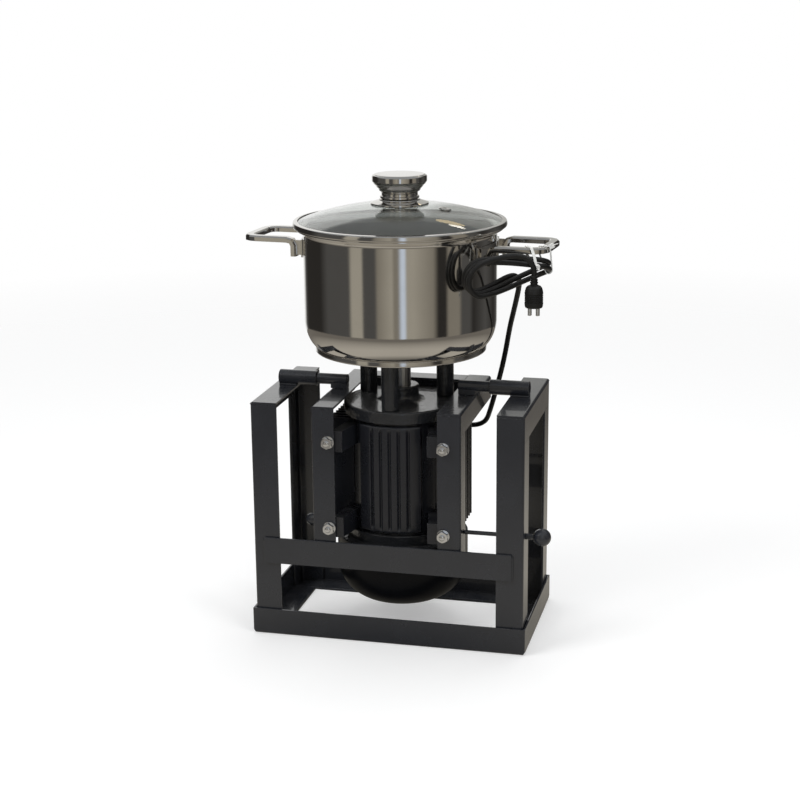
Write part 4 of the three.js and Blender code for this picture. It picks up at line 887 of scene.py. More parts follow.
def dress(piece: Piece, body: Body, finish: Finish, *nodes: str) -> Piece:
    """Finishes a piece: material, body, and the CAD nodes that it stands for.

    Args:
        piece: The piece.
        body: The body that it rides on.
        finish: Its finish.
        *nodes: The CAD nodes that it replaces.

    Returns:
        The piece.
    """
    piece.data.materials.clear()
    piece.data.materials.append(Palette.material(finish))
    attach(piece, body.value)
    if nodes:
        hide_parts(*nodes)
    log.info("%s on %s", piece.name, body.value)
    return piece


def repaint(node: str, finish: Finish) -> None:
    """Gives a CAD node that stays its finish.

    Args:
        node: The node's name.
        finish: Its finish.
    """
    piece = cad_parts[node]
    piece.data.materials.clear()
    piece.data.materials.append(Palette.material(finish))
    log.info("%s keeps its CAD shape", node)


def softened(node: str, name: str, body: Body, finish: Finish, width: float, segments: int = 2,
             angle: float = 30.0) -> Piece:
    """Rounds the sharp edges of a CAD node's shape and finishes it in the node's place.

    Args:
        node: The CAD node.
        name: The piece's name.
        body: The body that it rides on.
        finish: Its finish.
        width: The bevel's width, in millimetres.
        segments: The steps across it.
        angle: Edges sharper than this many degrees are rounded.

    Returns:
        The piece.
    """
    piece = Bench.bevelled(Bench.taken(node, name), name, width * MM, segments, angle)
    return dress(piece, body, finish, node)


def lathed(name: str, outline: Outline, sides: int, body: Body, finish: Finish, *nodes: str,
           axis: Vector = UP, origin: Vector = TILT_SHIFT) -> Piece:
    """Turns an outline in millimetres and finishes the piece.

    Args:
        name: The piece's name.
        outline: Radius and height of each point.
        sides: The number of sides.
        body: The body that it rides on.
        finish: Its finish.
        *nodes: The CAD nodes that it replaces.
        axis: The direction that the height runs in.
        origin: Where the height starts, in metres.

    Returns:
        The piece.
    """
    return dress(Bench.turned(name, scaled(outline), sides, axis, origin), body, finish, *nodes)


@dataclass
class Studio:
    """Camera, pale floor, white surround, soft lamps, and cards for polish to reflect."""

    eye: Point = (0.4903, -2.0057, 0.8417)
    yaw: float = 13.90
    pitch: float = 14.91
    roll: float = -0.57
    focal: float = 1687.0
    picture: float = 800.0
    sensor: float = 36.0
    clip: tuple[float, float] = (0.05, 50.0)
    ambient: float = 0.50
    ambient_colour: Colour = (0.97, 0.98, 1.0, 1.0)
    floor_radius: float = 4.0
    floor_colour: Colour = (0.74, 0.74, 0.735, 1.0)
    floor_fade: tuple[float, float] = (0.7, 2.6)
    lift: float = 0.34
    # Polished pieces see the floor as a painted reflection: warm grey near the object, darker
    # further out.
    near_tone: Colour = (0.45, 0.42, 0.365, 1.0)
    far_tone: Colour = (0.17, 0.155, 0.135, 1.0)
    tone_run: tuple[float, float] = (0.45, 1.05)
    # Painted shadow in that reflection: dimmer close under the object, between the two distances.
    shade_run: tuple[float, float] = (0.12, 0.27)
    shade: float = 0.32
    ring_radius: float = 1.45
    ring_height: float = 1.4
    aim: Point = (0.0, 0.0, 0.3)

    def camera(self) -> None:
        """Sets the camera where the photograph was taken from."""
        yaw, pitch, roll = (math.radians(a) for a in (self.yaw, self.pitch, self.roll))
        ahead = Vector((-math.sin(yaw) * math.cos(pitch), math.cos(yaw) * math.cos(pitch),
                        -math.sin(pitch)))
        level = Vector((math.cos(yaw), math.sin(yaw), 0.0))
        above = level.cross(ahead)
        right = level * math.cos(roll) + above * math.sin(roll)
        top = above * math.cos(roll) - level * math.sin(roll)
        data = bpy.data.cameras.new("photo_camera")
        data.sensor_fit = "HORIZONTAL"
        data.sensor_width = self.sensor
        data.lens = self.focal / self.picture * self.sensor
        data.clip_start, data.clip_end = self.clip
        camera = bpy.data.objects.new("photo_camera", data)
        turn = Matrix((right, top, -ahead)).transposed().to_4x4()
        camera.matrix_world = Matrix.Translation(Vector(self.eye)) @ turn
        bpy.context.scene.collection.objects.link(camera)
        bpy.context.scene.camera = camera

    def surround(self) -> None:
        """A world that is white to the eye, to metal and to glass, and soft for the light."""
        world = bpy.data.worlds.new("surround")
        world.use_nodes = True
        world.node_tree.nodes.clear()
        bpy.context.scene.world = world
        nodes = Nodes(world.node_tree)
        path = nodes.put("LightPath").outputs
        seen = nodes.maths("MAXIMUM", path["Is Camera Ray"], path["Is Glossy Ray"])
        seen = nodes.maths("MAXIMUM", seen, path["Is Transmission Ray"])
        white = nodes.put("Background", {"Color": WHITE, "Strength": 1.0}).outputs[0]
        soft = nodes.put("Background",
                         {"Color": self.ambient_colour, "Strength": self.ambient}).outputs[0]
        mix = nodes.put("MixShader", {0: seen, 1: soft, 2: white}).outputs[0]
        nodes.put("OutputWorld", {"Surface": mix})

    @staticmethod
    def blank(name: str) -> tuple[bpy.types.Material, Nodes]:
        """A new material with an empty tree.

        Args:
            name: The material's name.

        Returns:
            The material and its nodes.
        """
        material = bpy.data.materials.new(name)
        material.use_nodes = True
        material.node_tree.nodes.clear()
        return material, Nodes(material.node_tree)

    def floor(self) -> None:
        """A pale floor that fades out before its edge; polished pieces see a painted warm grey
        reflection of it.
        """
        Bench.clear()
        bpy.ops.mesh.primitive_circle_add(vertices=96, radius=self.floor_radius, fill_type="NGON")
        floor = bpy.context.active_object
        floor.name = "studio_floor"
        material, nodes = self.blank("floor_pale")
        away = nodes.vectors("LENGTH", nodes.put("TexCoord").outputs["Object"]).outputs["Value"]
        path = nodes.put("LightPath").outputs
        matt = nodes.put("BsdfDiffuse", {"Color": self.floor_colour}).outputs[0]
        strength = nodes.maths("MULTIPLY", path["Is Camera Ray"], self.lift)
        lift = nodes.put("Emission", {"Color": WHITE, "Strength": strength}).outputs[0]
        plain = nodes.put("AddShader", {0: matt, 1: lift}).outputs[0]
        # Painted reflection of the floor: glossy rays see a fixed warm grey that darkens further
        # out.
        painted_floor_tone = nodes.mixed(nodes.ranged(away, *self.tone_run), self.near_tone, self.far_tone)
        # Painted shadow: the reflected floor glows dimmer close under the object.
        first, last = self.shade_run
        shade = nodes.put("MapRange", {"Value": away, "From Min": first, "From Max": last,
                                       "To Min": self.shade}).outputs[0]
        # An emission that lights nothing: the painted reflection, dimmed by the painted shadow.
        warm = nodes.put("Emission", {"Color": painted_floor_tone, "Strength": shade}).outputs[0]
        seen = nodes.put("MixShader", {0: path["Is Glossy Ray"], 1: plain, 2: warm}).outputs[0]
        edge = nodes.maths("MULTIPLY", nodes.ranged(away, *self.floor_fade),
                           nodes.maths("SUBTRACT", 1.0, path["Is Glossy Ray"]))
        clear = nodes.put("BsdfTransparent").outputs[0]
        faded = nodes.put("MixShader", {0: edge, 1: seen, 2: clear}).outputs[0]
        nodes.put("OutputMaterial", {"Surface": faded})
        floor.data.materials.append(material)

    def cards(self) -> None:
        """A ring of grey and beige cards, as in a room with panels, for polish and glass."""
        Bench.clear()
        bpy.ops.mesh.primitive_cylinder_add(
            vertices=96, radius=self.ring_radius, depth=self.ring_height, end_fill_type="NOTHING",
            location=(0.0, 0.0, self.ring_height / 2))
        ring = bpy.context.active_object
        ring.name = "studio_cards"
        bpy.ops.object.transform_apply(location=True, rotation=True, scale=True)
        self.hide_card(ring, True)
        material, nodes = self.blank("cards_grey")
        turn = nodes.put("Mapping", {"Vector": nodes.put("TexCoord").outputs["Object"],
                                     "Rotation": (0.0, 0.0, math.radians(90.0 - self.yaw))})
        around = nodes.put("TexGradient", {"Vector": turn.outputs[0]}, gradient_type="RADIAL")
        ramp = nodes.put("ValToRGB", {0: around.outputs["Fac"]})
        self.paint_cards(ramp.color_ramp)
        glow = nodes.put("Emission", {"Color": ramp.outputs[0], "Strength": 1.0}).outputs[0]
        nodes.put("OutputMaterial", {"Surface": glow})
        ring.data.materials.append(material)

    def ceiling(self) -> None:
        """A grey ceiling, and a warm and a white glowing disc below it: painted highlights that
        polished pieces reflect.
        """
        ceiling = "studio_ceiling"
        under = self.ring_height - 0.02
        spots = {
            ceiling: ((0.0, 0.0, self.ring_height), self.ring_radius, (0.30, 0.31, 0.32, 1.0), 1.0),
            # Glowing discs seen only in reflections: painted highlights, not lamps.
            "studio_glow_warm": ((-0.02, 1.29, under), 0.09, (1.0, 0.80, 0.48, 1.0), 2.4),
            "studio_glow_white": ((0.045, 1.16, under - 0.01), 0.05, (1.0, 0.95, 0.82, 1.0), 6.0),
        }
        for name, (middle, radius, colour, strength) in spots.items():
            Bench.clear()
            bpy.ops.mesh.primitive_circle_add(vertices=64, radius=radius, fill_type="NGON",
                                              location=middle)
            card = bpy.context.active_object
            card.name = name
            bpy.ops.object.transform_apply(location=True, rotation=True, scale=True)
            self.hide_card(card, name == ceiling)
            material, nodes = self.blank(name)
            glow = nodes.put("Emission", {"Color": colour, "Strength": strength}).outputs[0]
            nodes.put("OutputMaterial", {"Surface": glow})
            card.data.materials.append(material)

    def hide_card(self, card: Piece, through_glass: bool) -> None:
        """Leaves a card to reflections, and where asked to what is seen through the glass."""
        card.visible_camera = card.visible_diffuse = card.visible_shadow = False
        card.visible_transmission = through_glass

    def paint_cards(self, ramp: bpy.types.ColorRamp) -> None:
        """Sets the cards' colours by direction: 0 degrees towards the camera, right is positive.

        Args:
            ramp: The ramp that takes the colours.
        """
        white, haze, sky = (0.92, 0.92, 0.91, 1.0), (0.50, 0.50, 0.48, 1.0), (0.62, 0.70, 0.82, 1.0)
        beige, umber = (0.37, 0.345, 0.29, 1.0), (0.23, 0.21, 0.175, 1.0)
        slate, deep = (0.080, 0.078, 0.075, 1.0), (0.028, 0.026, 0.024, 1.0)
        stops = [
            (-158, white), (-146, slate), (-138, deep), (-105, deep), (-92, slate),
            (-61, slate), (-57, beige), (-45, beige), (-42, slate), (-29, slate), (-26, umber),
            (-10, beige), (-7, umber), (-3, umber), (1, sky), (4, sky), (7, beige), (14, beige),
            (37, umber), (43, deep), (52, deep), (56, umber), (70, umber), (74, slate), (86, slate),
            (92, deep), (116, slate), (140, deep), (156, slate), (160, haze), (173, haze),
            (176, white),
        ]
        while len(ramp.elements) > 1:
            ramp.elements.remove(ramp.elements[-1])
        for i, (degrees, colour) in enumerate(stops):
            position = (degrees + 180.0) / 360.0
            stop = ramp.elements[0] if i == 0 else ramp.elements.new(position)
            stop.position = position
            stop.color = colour

    def lamp(self, name: str, place: Point, size: float, power: float) -> None:
        """Hangs one soft square lamp that faces the object.

        Args:
            name: The lamp's name.
            place: Where it hangs.
            size: The length of its side.
            power: Its power in watts.
        """
        data = bpy.data.lights.new(name, "AREA")
        data.shape = "SQUARE"
        data.size = size
        data.energy = power
        lamp = bpy.data.objects.new(name, data)
        ahead = Vector(self.aim) - Vector(place)
        turn = ahead.to_track_quat("-Z", "Y").to_matrix().to_4x4()
        lamp.matrix_world = Matrix.Translation(Vector(place)) @ turn
        lamp.visible_transmission = False
        bpy.context.scene.collection.objects.link(lamp)

    def build(self) -> None:
        """Builds the studio round the camera, which is there already."""
        bpy.context.scene.view_settings.view_transform = "Standard"
        self.surround()
        self.floor()
        self.cards()
        self.ceiling()
        self.lamp("lamp_left", (-1.6, -1.5, 2.2), 1.2, 26.0)
        self.lamp("lamp_right", (1.7, -1.2, 1.9), 1.0, 12.0)
        self.lamp("lamp_top", (0.1, 0.5, 2.4), 1.4, 18.0)
        log.info("studio")


@dataclass
class MainsCord:
    """The cord: lead up from the gland, hank of three loops at the handle, bend to the plug."""

    diameter: float = 6.5
    exit: Point = (62.6, 97.8, 236.0)
    lead: tuple[Point, ...] = (
        (79, 96.6, 237.6), (87.5, 93.3, 242.2), (93.2, 88.3, 249.2), (97.5, 81.5, 259),
        (102, 74, 271), (107, 66, 286), (112.5, 58, 303), (118, 50, 321), (123, 42.5, 339),
        (127.5, 35, 357), (131.5, 27, 374), (136, 17.5, 391.5), (141.5, 7, 410), (147, -3.5, 429),
        (151.5, -13.5, 446), (152.8, -20.7, 454.9), (151.35, -29.55, 461.2), (147.2, -38.8, 464),
    )
    facing: float = -58.0
    distance: float = 135.0
    left: float = 58.0
    right: float = 120.0
    left_height: float = 467.0
    right_height: float = 476.0
    fold: float = 20.5
    loops: int = 3
    pitch: float = 7.6
    start: float = 88.0
    twist: tuple[float, float] = (4.0, 72.0)
    twist_run: tuple[float, float] = (24.0, 158.0)
    end: float = 92.0
    end_out: float = 6.5
    end_rise: float = 15.0
    end_run: float = 55.0
    points: int = 150
    drop_radius: float = 19.8
    drop_steps: int = 8
    gap: float = 0.3

    def outwards(self) -> Vector:
        """The direction from the pot to the hank."""
        angle = math.radians(self.facing)
        return Vector((math.cos(angle), math.sin(angle), 0.0))

    def sideways(self) -> Vector:
        """The direction that the hank's runs lie in."""
        angle = math.radians(self.facing)
        return Vector((-math.sin(angle), math.cos(angle), 0.0))

    def point(self, along: float, spread: float, stack: float) -> Vector:
        """A point of the hank.

        Args:
            along: The distance along the runs.
            spread: The distance across the loop.
            stack: The distance across its layers.

        Returns:
            The point, in millimetres.
        """
        share = smoothstep(along, *self.twist_run)
        twist = math.radians(self.twist[0] + (self.twist[1] - self.twist[0]) * share)
        middle = self.left_height + (self.right_height - self.left_height) * share
        out = self.distance + spread * math.sin(twist) + stack * math.cos(twist)
        height = middle + spread * math.cos(twist) - stack * math.sin(twist)
        return self.outwards() * out + self.sideways() * along + UP * height

    def lap(self, walked: float, stack: float) -> Vector:
        """A point of one lap at a distance walked: inner run, left fold, outer run, right fold.

        Args:
            walked: The distance from the lap's start, in millimetres.
            stack: How far the lap lies from the hank's middle.

        Returns:
            The point.
        """
        run, fold = self.right - self.left, math.pi * self.fold
        if walked < run:
            return self.point(self.right - walked, -self.fold, stack)
        if walked < run + fold:
            angle = (walked - run) / self.fold
            along, across = self.left - self.fold * math.sin(angle), -self.fold * math.cos(angle)
            return self.point(along, across, stack)
        if walked < 2 * run + fold:
            return self.point(self.left + walked - run - fold, self.fold, stack)
        angle = (walked - 2 * run - fold) / self.fold
        along, across = self.right + self.fold * math.sin(angle), self.fold * math.cos(angle)
        return self.point(along, across, stack)

    def hank(self) -> list[Vector]:
        """The hank's route and the bend down to the plug.

        Returns:
            The route's points in millimetres, before the shift.
        """
        run, fold = self.right - self.left, math.pi * self.fold
        turn = 2 * run + 2 * fold
        total = self.start - self.left + (self.loops - 1) * turn + fold + self.end - self.left
        route = []
        for i in range(self.points + 1):
            walked = i / self.points * total
            stack = self.pitch * (walked - total / 2) / turn
            place = self.lap((walked + self.right - self.start) % turn, stack)
            share = smoothstep(walked, total - self.end_run, total)
            route.append(place + self.outwards() * self.end_out * share
                         + UP * self.end_rise * share)
        return route + self.drop(route)

    def drop(self, route: Sequence[Vector]) -> list[Vector]:
        """The bend from the last run straight down.

        Args:
            route: The hank's points so far.

        Returns:
            The bend's points.
        """
        last = route[-1]
        heading = (last - route[-3]).normalized()
        level = Vector((heading.x, heading.y, 0.0)).normalized()
        tilt = math.asin(heading.z)
        centre = last + level * math.sin(tilt) * self.drop_radius
        centre = centre - UP * math.cos(tilt) * self.drop_radius
        bend = []
        for i in range(1, self.drop_steps + 1):
            angle = tilt + i / self.drop_steps * (-math.pi / 2 - tilt)
            bend.append(centre - level * math.sin(angle) * self.drop_radius
                        + UP * math.cos(angle) * self.drop_radius)
        bend.append(bend[-1] - UP * self.diameter / 2)
        return bend

    def route(self) -> list[Vector]:
        """The whole centreline in metres, in the model's frame.

        Returns:
            The centreline's points, from the gland to the plug.
        """
        hank = self.hank()
        first = Vector(self.exit)
        lead = [first, first + Vector((self.diameter, 0.0, 0.0))] + [Vector(p) for p in self.lead]
        heading = (hank[1] - hank[0]).normalized()
        lead.append(hank[0] - heading * self.diameter)
        return [p * MM + TILT_SHIFT for p in lead + hank]

    def foot(self) -> Vector:
        """The top of the plug, in metres."""
        return self.route()[-1] - UP * self.gap * MM

    def build(self, plug: Piece) -> Piece:
        """Makes the cord as one curve.

        Args:
            plug: The plug on its far end; not used.

        Returns:
            The cord.
        """
        route = self.route()
        data = bpy.data.curves.new("mains_cord", "CURVE")
        data.dimensions = "3D"
        data.bevel_depth = self.diameter / 2 * MM
        data.bevel_resolution = 5
        data.resolution_u = 4
        data.use_fill_caps = True
        spline = data.splines.new("BEZIER")
        spline.bezier_points.add(len(route) - 1)
        for bezier, place in zip(spline.bezier_points, route):
            bezier.co = place
            bezier.handle_left_type = bezier.handle_right_type = "AUTO"
        cord = bpy.data.objects.new("mains_cord", data)
        bpy.context.scene.collection.objects.link(cord)
        bpy.context.view_layer.update()
        dress(cord, Body.CRADLE, Palette.rubber, "cord_lead", "cord_hank")
        return cord


@dataclass
class Plug:
    """The moulded plug: ribbed relief, rounded grip with ribs, face, two pins."""

    relief: float = 11.0
    length: float = 27.0
    radius: float = 11.0
    face: float = 9.5
    pin_radius: float = 2.4
    pin_length: float = 10.0
    pin_spacing: float = 9.5
    relief_ribs: int = 3
    relief_pitch: float = 3.1
    grip_ribs: int = 5
    grip_pitch: float = 2.2

    def build(self, top: Vector) -> Piece:
        """Makes the plug below a point.

        Args:
            top: Where the cord enters, in metres.

        Returns:
            The plug's body.
        """
        outline = [(0.0, 0.0), (3.9, 0.0), (4.2, 0.5)]
        for i in range(self.relief_ribs):
            low = 1.2 + i * self.relief_pitch
            width = 4.25 + 0.22 * i
            outline += [(width, low), (width, low + 1.6), (width - 0.7, low + 1.9),
                        (width - 0.7, low + 2.8)]
        outline += [(5.0, self.relief), (8.0, 12.4), (9.6, 14.4), (10.5, 17.6), (self.radius, 20.6)]
        for i in range(self.grip_ribs):
            low = 21.4 + i * self.grip_pitch
            outline += [(self.radius, low), (10.4, low + 0.5), (10.4, low + 1.1),
                        (self.radius, low + 1.6)]
        end = self.relief + self.length
        outline += [(self.radius, 33.2), (10.6, 36.4), (10.1, end - 0.4), (self.face, end),
                    (0.0, end)]
        body = lathed("plug_body", outline, ROD_SIDES, Body.CRADLE, Palette.rubber, "mains_plug",
                      axis=-UP, origin=top)
        root, tip = end - 0.1, end + self.pin_length
        pin = rounded([(0.0, root, 0), (self.pin_radius, root, 0), (self.pin_radius, tip, 1.3),
                       (0.0, tip, 0)])
        for side in Side:
            origin = top + Vector((side.value * self.pin_spacing / 2 * MM, 0.0, 0.0))
            made = lathed(f"plug_pin_{side.label}", pin, PIN_SIDES, Body.CRADLE, Palette.bright,
                          axis=-UP, origin=origin)
            made.parent = body
            made.matrix_parent_inverse = Matrix.Identity(4)
        return body


def weld(name: str, start: Vector, end: Vector, radius: float, body: Body, finish: Finish) -> Piece:
    """Lays a painted weld bead with ripples between two points.

    Args:
        name: The bead's name.
        start: Where it starts, in metres.
        end: Where it ends.
        radius: Its radius, in metres.
        body: The body that it rides on.
        finish: Its paint.

    Returns:
        The bead.
    """
    length = (end - start).length
    step, swing, ripple = 0.9 * radius, 0.06, 0.07
    mouth, rise = 0.55 * radius, 0.08 * radius
    count = max(4, round(length / step))
    outline = [(0.0, 0.0), (mouth, rise)]
    for i in range(1, count):
        swell = 1.0 + swing * math.sin(1.9 * i) + (ripple if i % 2 else -ripple)
        outline.append((radius * swell, length * i / count))
    outline += [(mouth, length - rise), (0.0, length)]
    bead = Bench.turned(name, outline, BEAD_SIDES, (end - start).normalized(), start, MOLTEN)
    return dress(bead, body, finish)


@dataclass
class Stand:
    """The welded stand: bevelled angle bars, weld beads, pivot sleeves."""

    edge: float = 0.7
    bar_half: float = 157.5
    bar_low: float = 96.0
    bar_high: float = 130.0
    post_front: float = -95.0
    bead: float = 1.7
    bead_aside: float = 5.4
    filler_half: float = 4.6
    top: float = 305.0
    sleeve_radius: float = 9.5
    sleeve_bore: float = 7.3
    sleeve_inner: float = 112.0
    sleeve_outer: float = 162.0
    sleeve_height: float = 314.8
    saddle_inner: float = 138.3

    bars: tuple[str, ...] = (
        "base_bar_front", "base_bar_rear", "base_bar_left", "base_bar_right", "post_front_left",
        "post_front_right", "post_rear_left", "post_rear_right", "top_bar_left", "top_bar_right",
        "middle_bar_front",
    )

    def rails(self) -> None:
        """Rounds the edges of every bar."""
        for node in self.bars:
            softened(node, f"{node}_rolled", Body.STAND, Palette.stand_paint, self.edge)

    def beads(self) -> None:
        """Welds the middle bar and the sleeves on."""
        paint = Body.STAND, Palette.stand_paint
        for side in Side:
            x, y = side.value * (self.bar_half + 0.4), self.post_front - 0.6
            start = place(x, y, self.bar_low + 1.5, STAND_SHIFT)
            end = place(x, y, self.bar_high - 1.5, STAND_SHIFT)
            weld(f"middle_bar_weld_{side.label}", start, end, self.bead * MM, *paint)
            for y, label in ((-self.bead_aside, "front"), (self.bead_aside, "rear")):
                low = place(side.value * self.saddle_inner, y, self.top + 0.9, STAND_SHIFT)
                high = place(side.value * self.sleeve_outer, y, self.top + 0.9, STAND_SHIFT)
                weld(f"sleeve_weld_{label}_{side.label}", low, high, self.bead * MM, *paint)

    def sleeves(self) -> None:
        """Turns both pivot sleeves, each with its filler on the bar."""
        length = self.sleeve_outer - self.sleeve_inner
        corners = [
            (self.sleeve_bore, 0.0, 0.0), (self.sleeve_bore, length, 0.5),
            (self.sleeve_radius, length, 0.9), (self.sleeve_radius, 0.0, 0.9),
            (self.sleeve_bore, 0.0, 0.5), (self.sleeve_bore, 0.5, 0.0),
        ]
        for side in Side:
            origin = place(side.value * self.sleeve_inner, 0.0, self.sleeve_height, STAND_SHIFT)
            lathed(f"sleeve_{side.label}", rounded(corners), TUBE_SIDES, Body.STAND,
                   Palette.stand_paint, f"pivot_sleeve_{side.label}", axis=side.outward,
                   origin=origin)
            ends = sorted((side.value * self.saddle_inner, side.value * self.sleeve_outer))
            low = place(ends[0], -self.filler_half, self.top + 0.1, STAND_SHIFT)
            high = place(ends[1], self.filler_half, self.top + 2.2, STAND_SHIFT)
            filler = Bench.block(f"sleeve_filler_{side.label}", low, high)
            dress(filler, Body.STAND, Palette.stand_paint)

    def build(self) -> None:
        """Builds the stand."""
        self.rails()
        self.sleeves()
        self.beads()


@dataclass
class Cradle:
    """The tilting frame: bevelled angle bars, rods in the sleeves, saddles under the rods."""

    edge: float = 0.6
    rod_radius: float = 7.0
    rod_inner: float = 72.0
    rod_outer: float = 157.0
    rod_height: float = 314.8
    saddle_outer: float = 93.7
    saddle_low: float = 303.8
    saddle_half: float = 5.9
    saddle_edge: float = 0.9

    bars: tuple[str, ...] = (
        "cradle_post_left", "cradle_post_right", "cradle_top_bar_left", "cradle_top_bar_right",
        "cradle_cross_bar",
    )

    def rails(self) -> None:
        """Rounds the edges of every bar."""
        for node in self.bars:
            softened(node, f"{node}_rolled", Body.CRADLE, Palette.cradle_paint, self.edge)

    def rods(self) -> None:
        """Turns both pivot rods, each on its saddle."""
        length = self.rod_outer - self.rod_inner
        corners = [(0.0, 0.0, 0.0), (self.rod_radius, 0.0, 0.8), (self.rod_radius, length, 0.9),
                   (0.0, length, 0.0)]
        for side in Side:
            origin = place(side.value * self.rod_inner, 0.0, self.rod_height, STAND_SHIFT)
            lathed(f"rod_{side.label}", rounded(corners), TUBE_SIDES, Body.CRADLE,
                   Palette.cradle_paint, f"pivot_rod_{side.label}", axis=side.outward,
                   origin=origin)
            ends = sorted((side.value * (self.rod_inner + 0.2), side.value * self.saddle_outer))
            low = place(ends[0], -self.saddle_half, self.saddle_low, STAND_SHIFT)
            high = place(ends[1], self.saddle_half, self.rod_height - 2.0, STAND_SHIFT)
            saddle = Bench.block(f"rod_saddle_{side.label}", low, high, self.saddle_edge * MM)
            dress(saddle, Body.CRADLE, Palette.cradle_paint)

    def build(self) -> None:
        """Builds the cradle."""
        self.rails()
        self.rods()


@dataclass
class FootBolts:
    """The four hexagon bolts that hold the motor's feet: head, threaded shank, washer, nut."""

    across: float = 13.0
    head: tuple[float, float] = (-76.9, -82.2)
    washer: tuple[float, float] = (-95.1, -96.7)
    nut: tuple[float, float] = (-96.7, -103.2)
    tip: float = -106.2
    radius: float = 4.0
    washer_radius: float = 8.0
    pitch: float = 1.25
    thread: float = 0.55
    dome: float = 1.7
    dome_steps: int = 8
    edge: float = 0.16
    columns: tuple[float, float] = (-74.5, 70.5)
    rows: tuple[float, float] = (148.0, 259.0)

    def hexagon(self, name: str, ends: tuple[float, float], chamfer_back: bool) -> Piece:
        """A hexagon with turned chamfers, about the y axis.

        Args:
            name: The piece's name.
            ends: Where it starts and ends along y, in millimetres.
            chamfer_back: True where both ends are chamfered.

        Returns:
            The hexagon.
        """
        length = abs(ends[1] - ends[0])
        corner = self.across / math.sqrt(3.0)
        origin = Vector((0.0, ends[0], 0.0)) * MM
        outline = scaled([(0, 0), (corner, 0), (corner, length), (0, length)])
        prism = Bench.turned(name, outline, HEXAGON, AHEAD, origin, CRISP)
        drop, inset, crown, past = 0.95, 0.35, 1.1, 0.01
        cone = [(0.0, length + past), (corner - crown, length + past),
                (corner + inset, length - drop)]
        if chamfer_back:
            cone += [(corner + inset, drop), (corner - crown, -past)]
        else:
            cone += [(corner + inset, -past)]
        cone.append((0.0, -past))
        Bench.cut(prism, Bench.turned("cone", scaled(cone), TUBE_SIDES, AHEAD, origin), "INTERSECT")
        return Bench.bevelled(prism, name, self.edge * MM, angle=22.0)

    def shank(self, name: str) -> Piece:
        """The shank with its thread's crests and roots and a domed end.

        Args:
            name: The piece's name.

        Returns:
            The shank.
        """
        start = self.head[1]
        length = start - self.tip
        plain = start - self.washer[0]
        neck, root, end = self.radius - 0.02, self.radius - self.thread, self.radius - 0.3
        outline = [(0.0, 0.0), (neck, 0.0), (neck, plain)]
        turns = int((length - plain - self.dome) / self.pitch)
        for i in range(turns):
            low = plain + i * self.pitch
            outline += [(root, low + 0.35), (root, low + 0.55), (self.radius, low + 1.0),
                        (self.radius, low + self.pitch)]
        for i in range(self.dome_steps + 1):
            angle = math.pi / 2 * i / self.dome_steps
            outline.append((end * math.cos(angle), length - self.dome * (1.0 - math.sin(angle))))
        return Bench.turned(name, scaled(outline), ROD_SIDES, AHEAD, Vector((0.0, start, 0.0)) * MM)

    def build(self) -> None:
        """Makes one bolt and copies it to its four places."""
        head = self.hexagon("foot_bolt_head", self.head[::-1], False)
        nut = self.hexagon("foot_bolt_nut", self.nut, True)
        shank = self.shank("foot_bolt_shank")
        length, hole = abs(self.washer[1] - self.washer[0]), self.radius + 0.3
        ring = rounded([(hole, 0.0, 0.0), (self.washer_radius, 0.0, 0.3),
                        (self.washer_radius, length, 0.3), (hole, length, 0.0)]) + [(hole, 0.05)]
        washer = Bench.turned("foot_bolt_washer", scaled(ring), TUBE_SIDES, AHEAD,
                              Vector((0.0, self.washer[0], 0.0)) * MM)
        models = {"head": head, "nut": nut, "shank": shank, "washer": washer}
        for z, row in zip(self.rows, ("lower", "upper")):
            for x, column in zip(self.columns, ("left", "right")):
                move = Matrix.Translation(place(x, 0.0, z, Vector()))
                for part, model in models.items():
                    made = Bench.copied(model, f"foot_bolt_{part}_{row}_{column}", move)
                    nodes = (f"foot_bolt_{row}_{column}",) if part == "head" else ()
                    dress(made, Body.CRADLE, Palette.bright, *nodes)
        for model in models.values():
            bpy.data.objects.remove(model)


@dataclass
class LockPin:
    """The lock pin with its ribbed neck and ball knob."""

    y: float = -77.8
    z: float = 149.0
    tip: float = 94.3
    radius: float = 2.6
    neck_start: float = 172.3
    neck_end: float = 180.3
    neck: float = 4.0
    ribs: int = 3
    ball_centre: float = 192.0
    ball: float = 11.0
    ball_steps: int = 40
    flat: float = 4.0

    def build(self) -> None:
        """Turns the pin and its knob."""
        origin = place(self.tip, self.y, self.z, STAND_SHIFT)
        start, end = self.neck_start - self.tip, self.neck_end - self.tip
        step = (end - start) / self.ribs
        outline = [(0.0, 0.0), (1.5, 0.05), (2.2, 0.8), (self.radius, 2.4), (self.radius, start)]
        for i in range(self.ribs):
            low = start + i * step
            outline += [(self.neck - 0.35, low), (self.neck, low + 0.3), (self.neck, low + 1.3),
                        (self.neck - 0.35, low + 1.6), (3.4, low + 1.7), (3.4, low + step)]
        face = self.ball_centre - math.sqrt(self.ball ** 2 - self.flat ** 2) - self.tip
        outline += [(self.radius, end + 0.05), (self.radius, face + self.flat),
                    (0.0, face + self.flat)]
        lathed("lock_pin_rod", outline, ROD_SIDES, Body.LOCK, Palette.cradle_paint, "lock_pin",
               axis=RIGHT, origin=origin)
        centre = self.ball_centre - self.tip
        first = math.pi - math.asin(self.flat / self.ball)
        bore, depth = self.radius + 0.2, face + self.flat + 0.2
        outline = [(0.0, depth), (bore, depth), (bore, face + 0.3), (bore + 0.3, face)]
        for i in range(self.ball_steps + 1):
            angle = first * (1.0 - i / self.ball_steps)
            outline.append((self.ball * math.sin(angle), centre + self.ball * math.cos(angle)))
        lathed("lock_pin_ball", outline, BALL_SIDES, Body.LOCK, Palette.cradle_paint,
               "lock_pin_knob", axis=RIGHT, origin=origin)


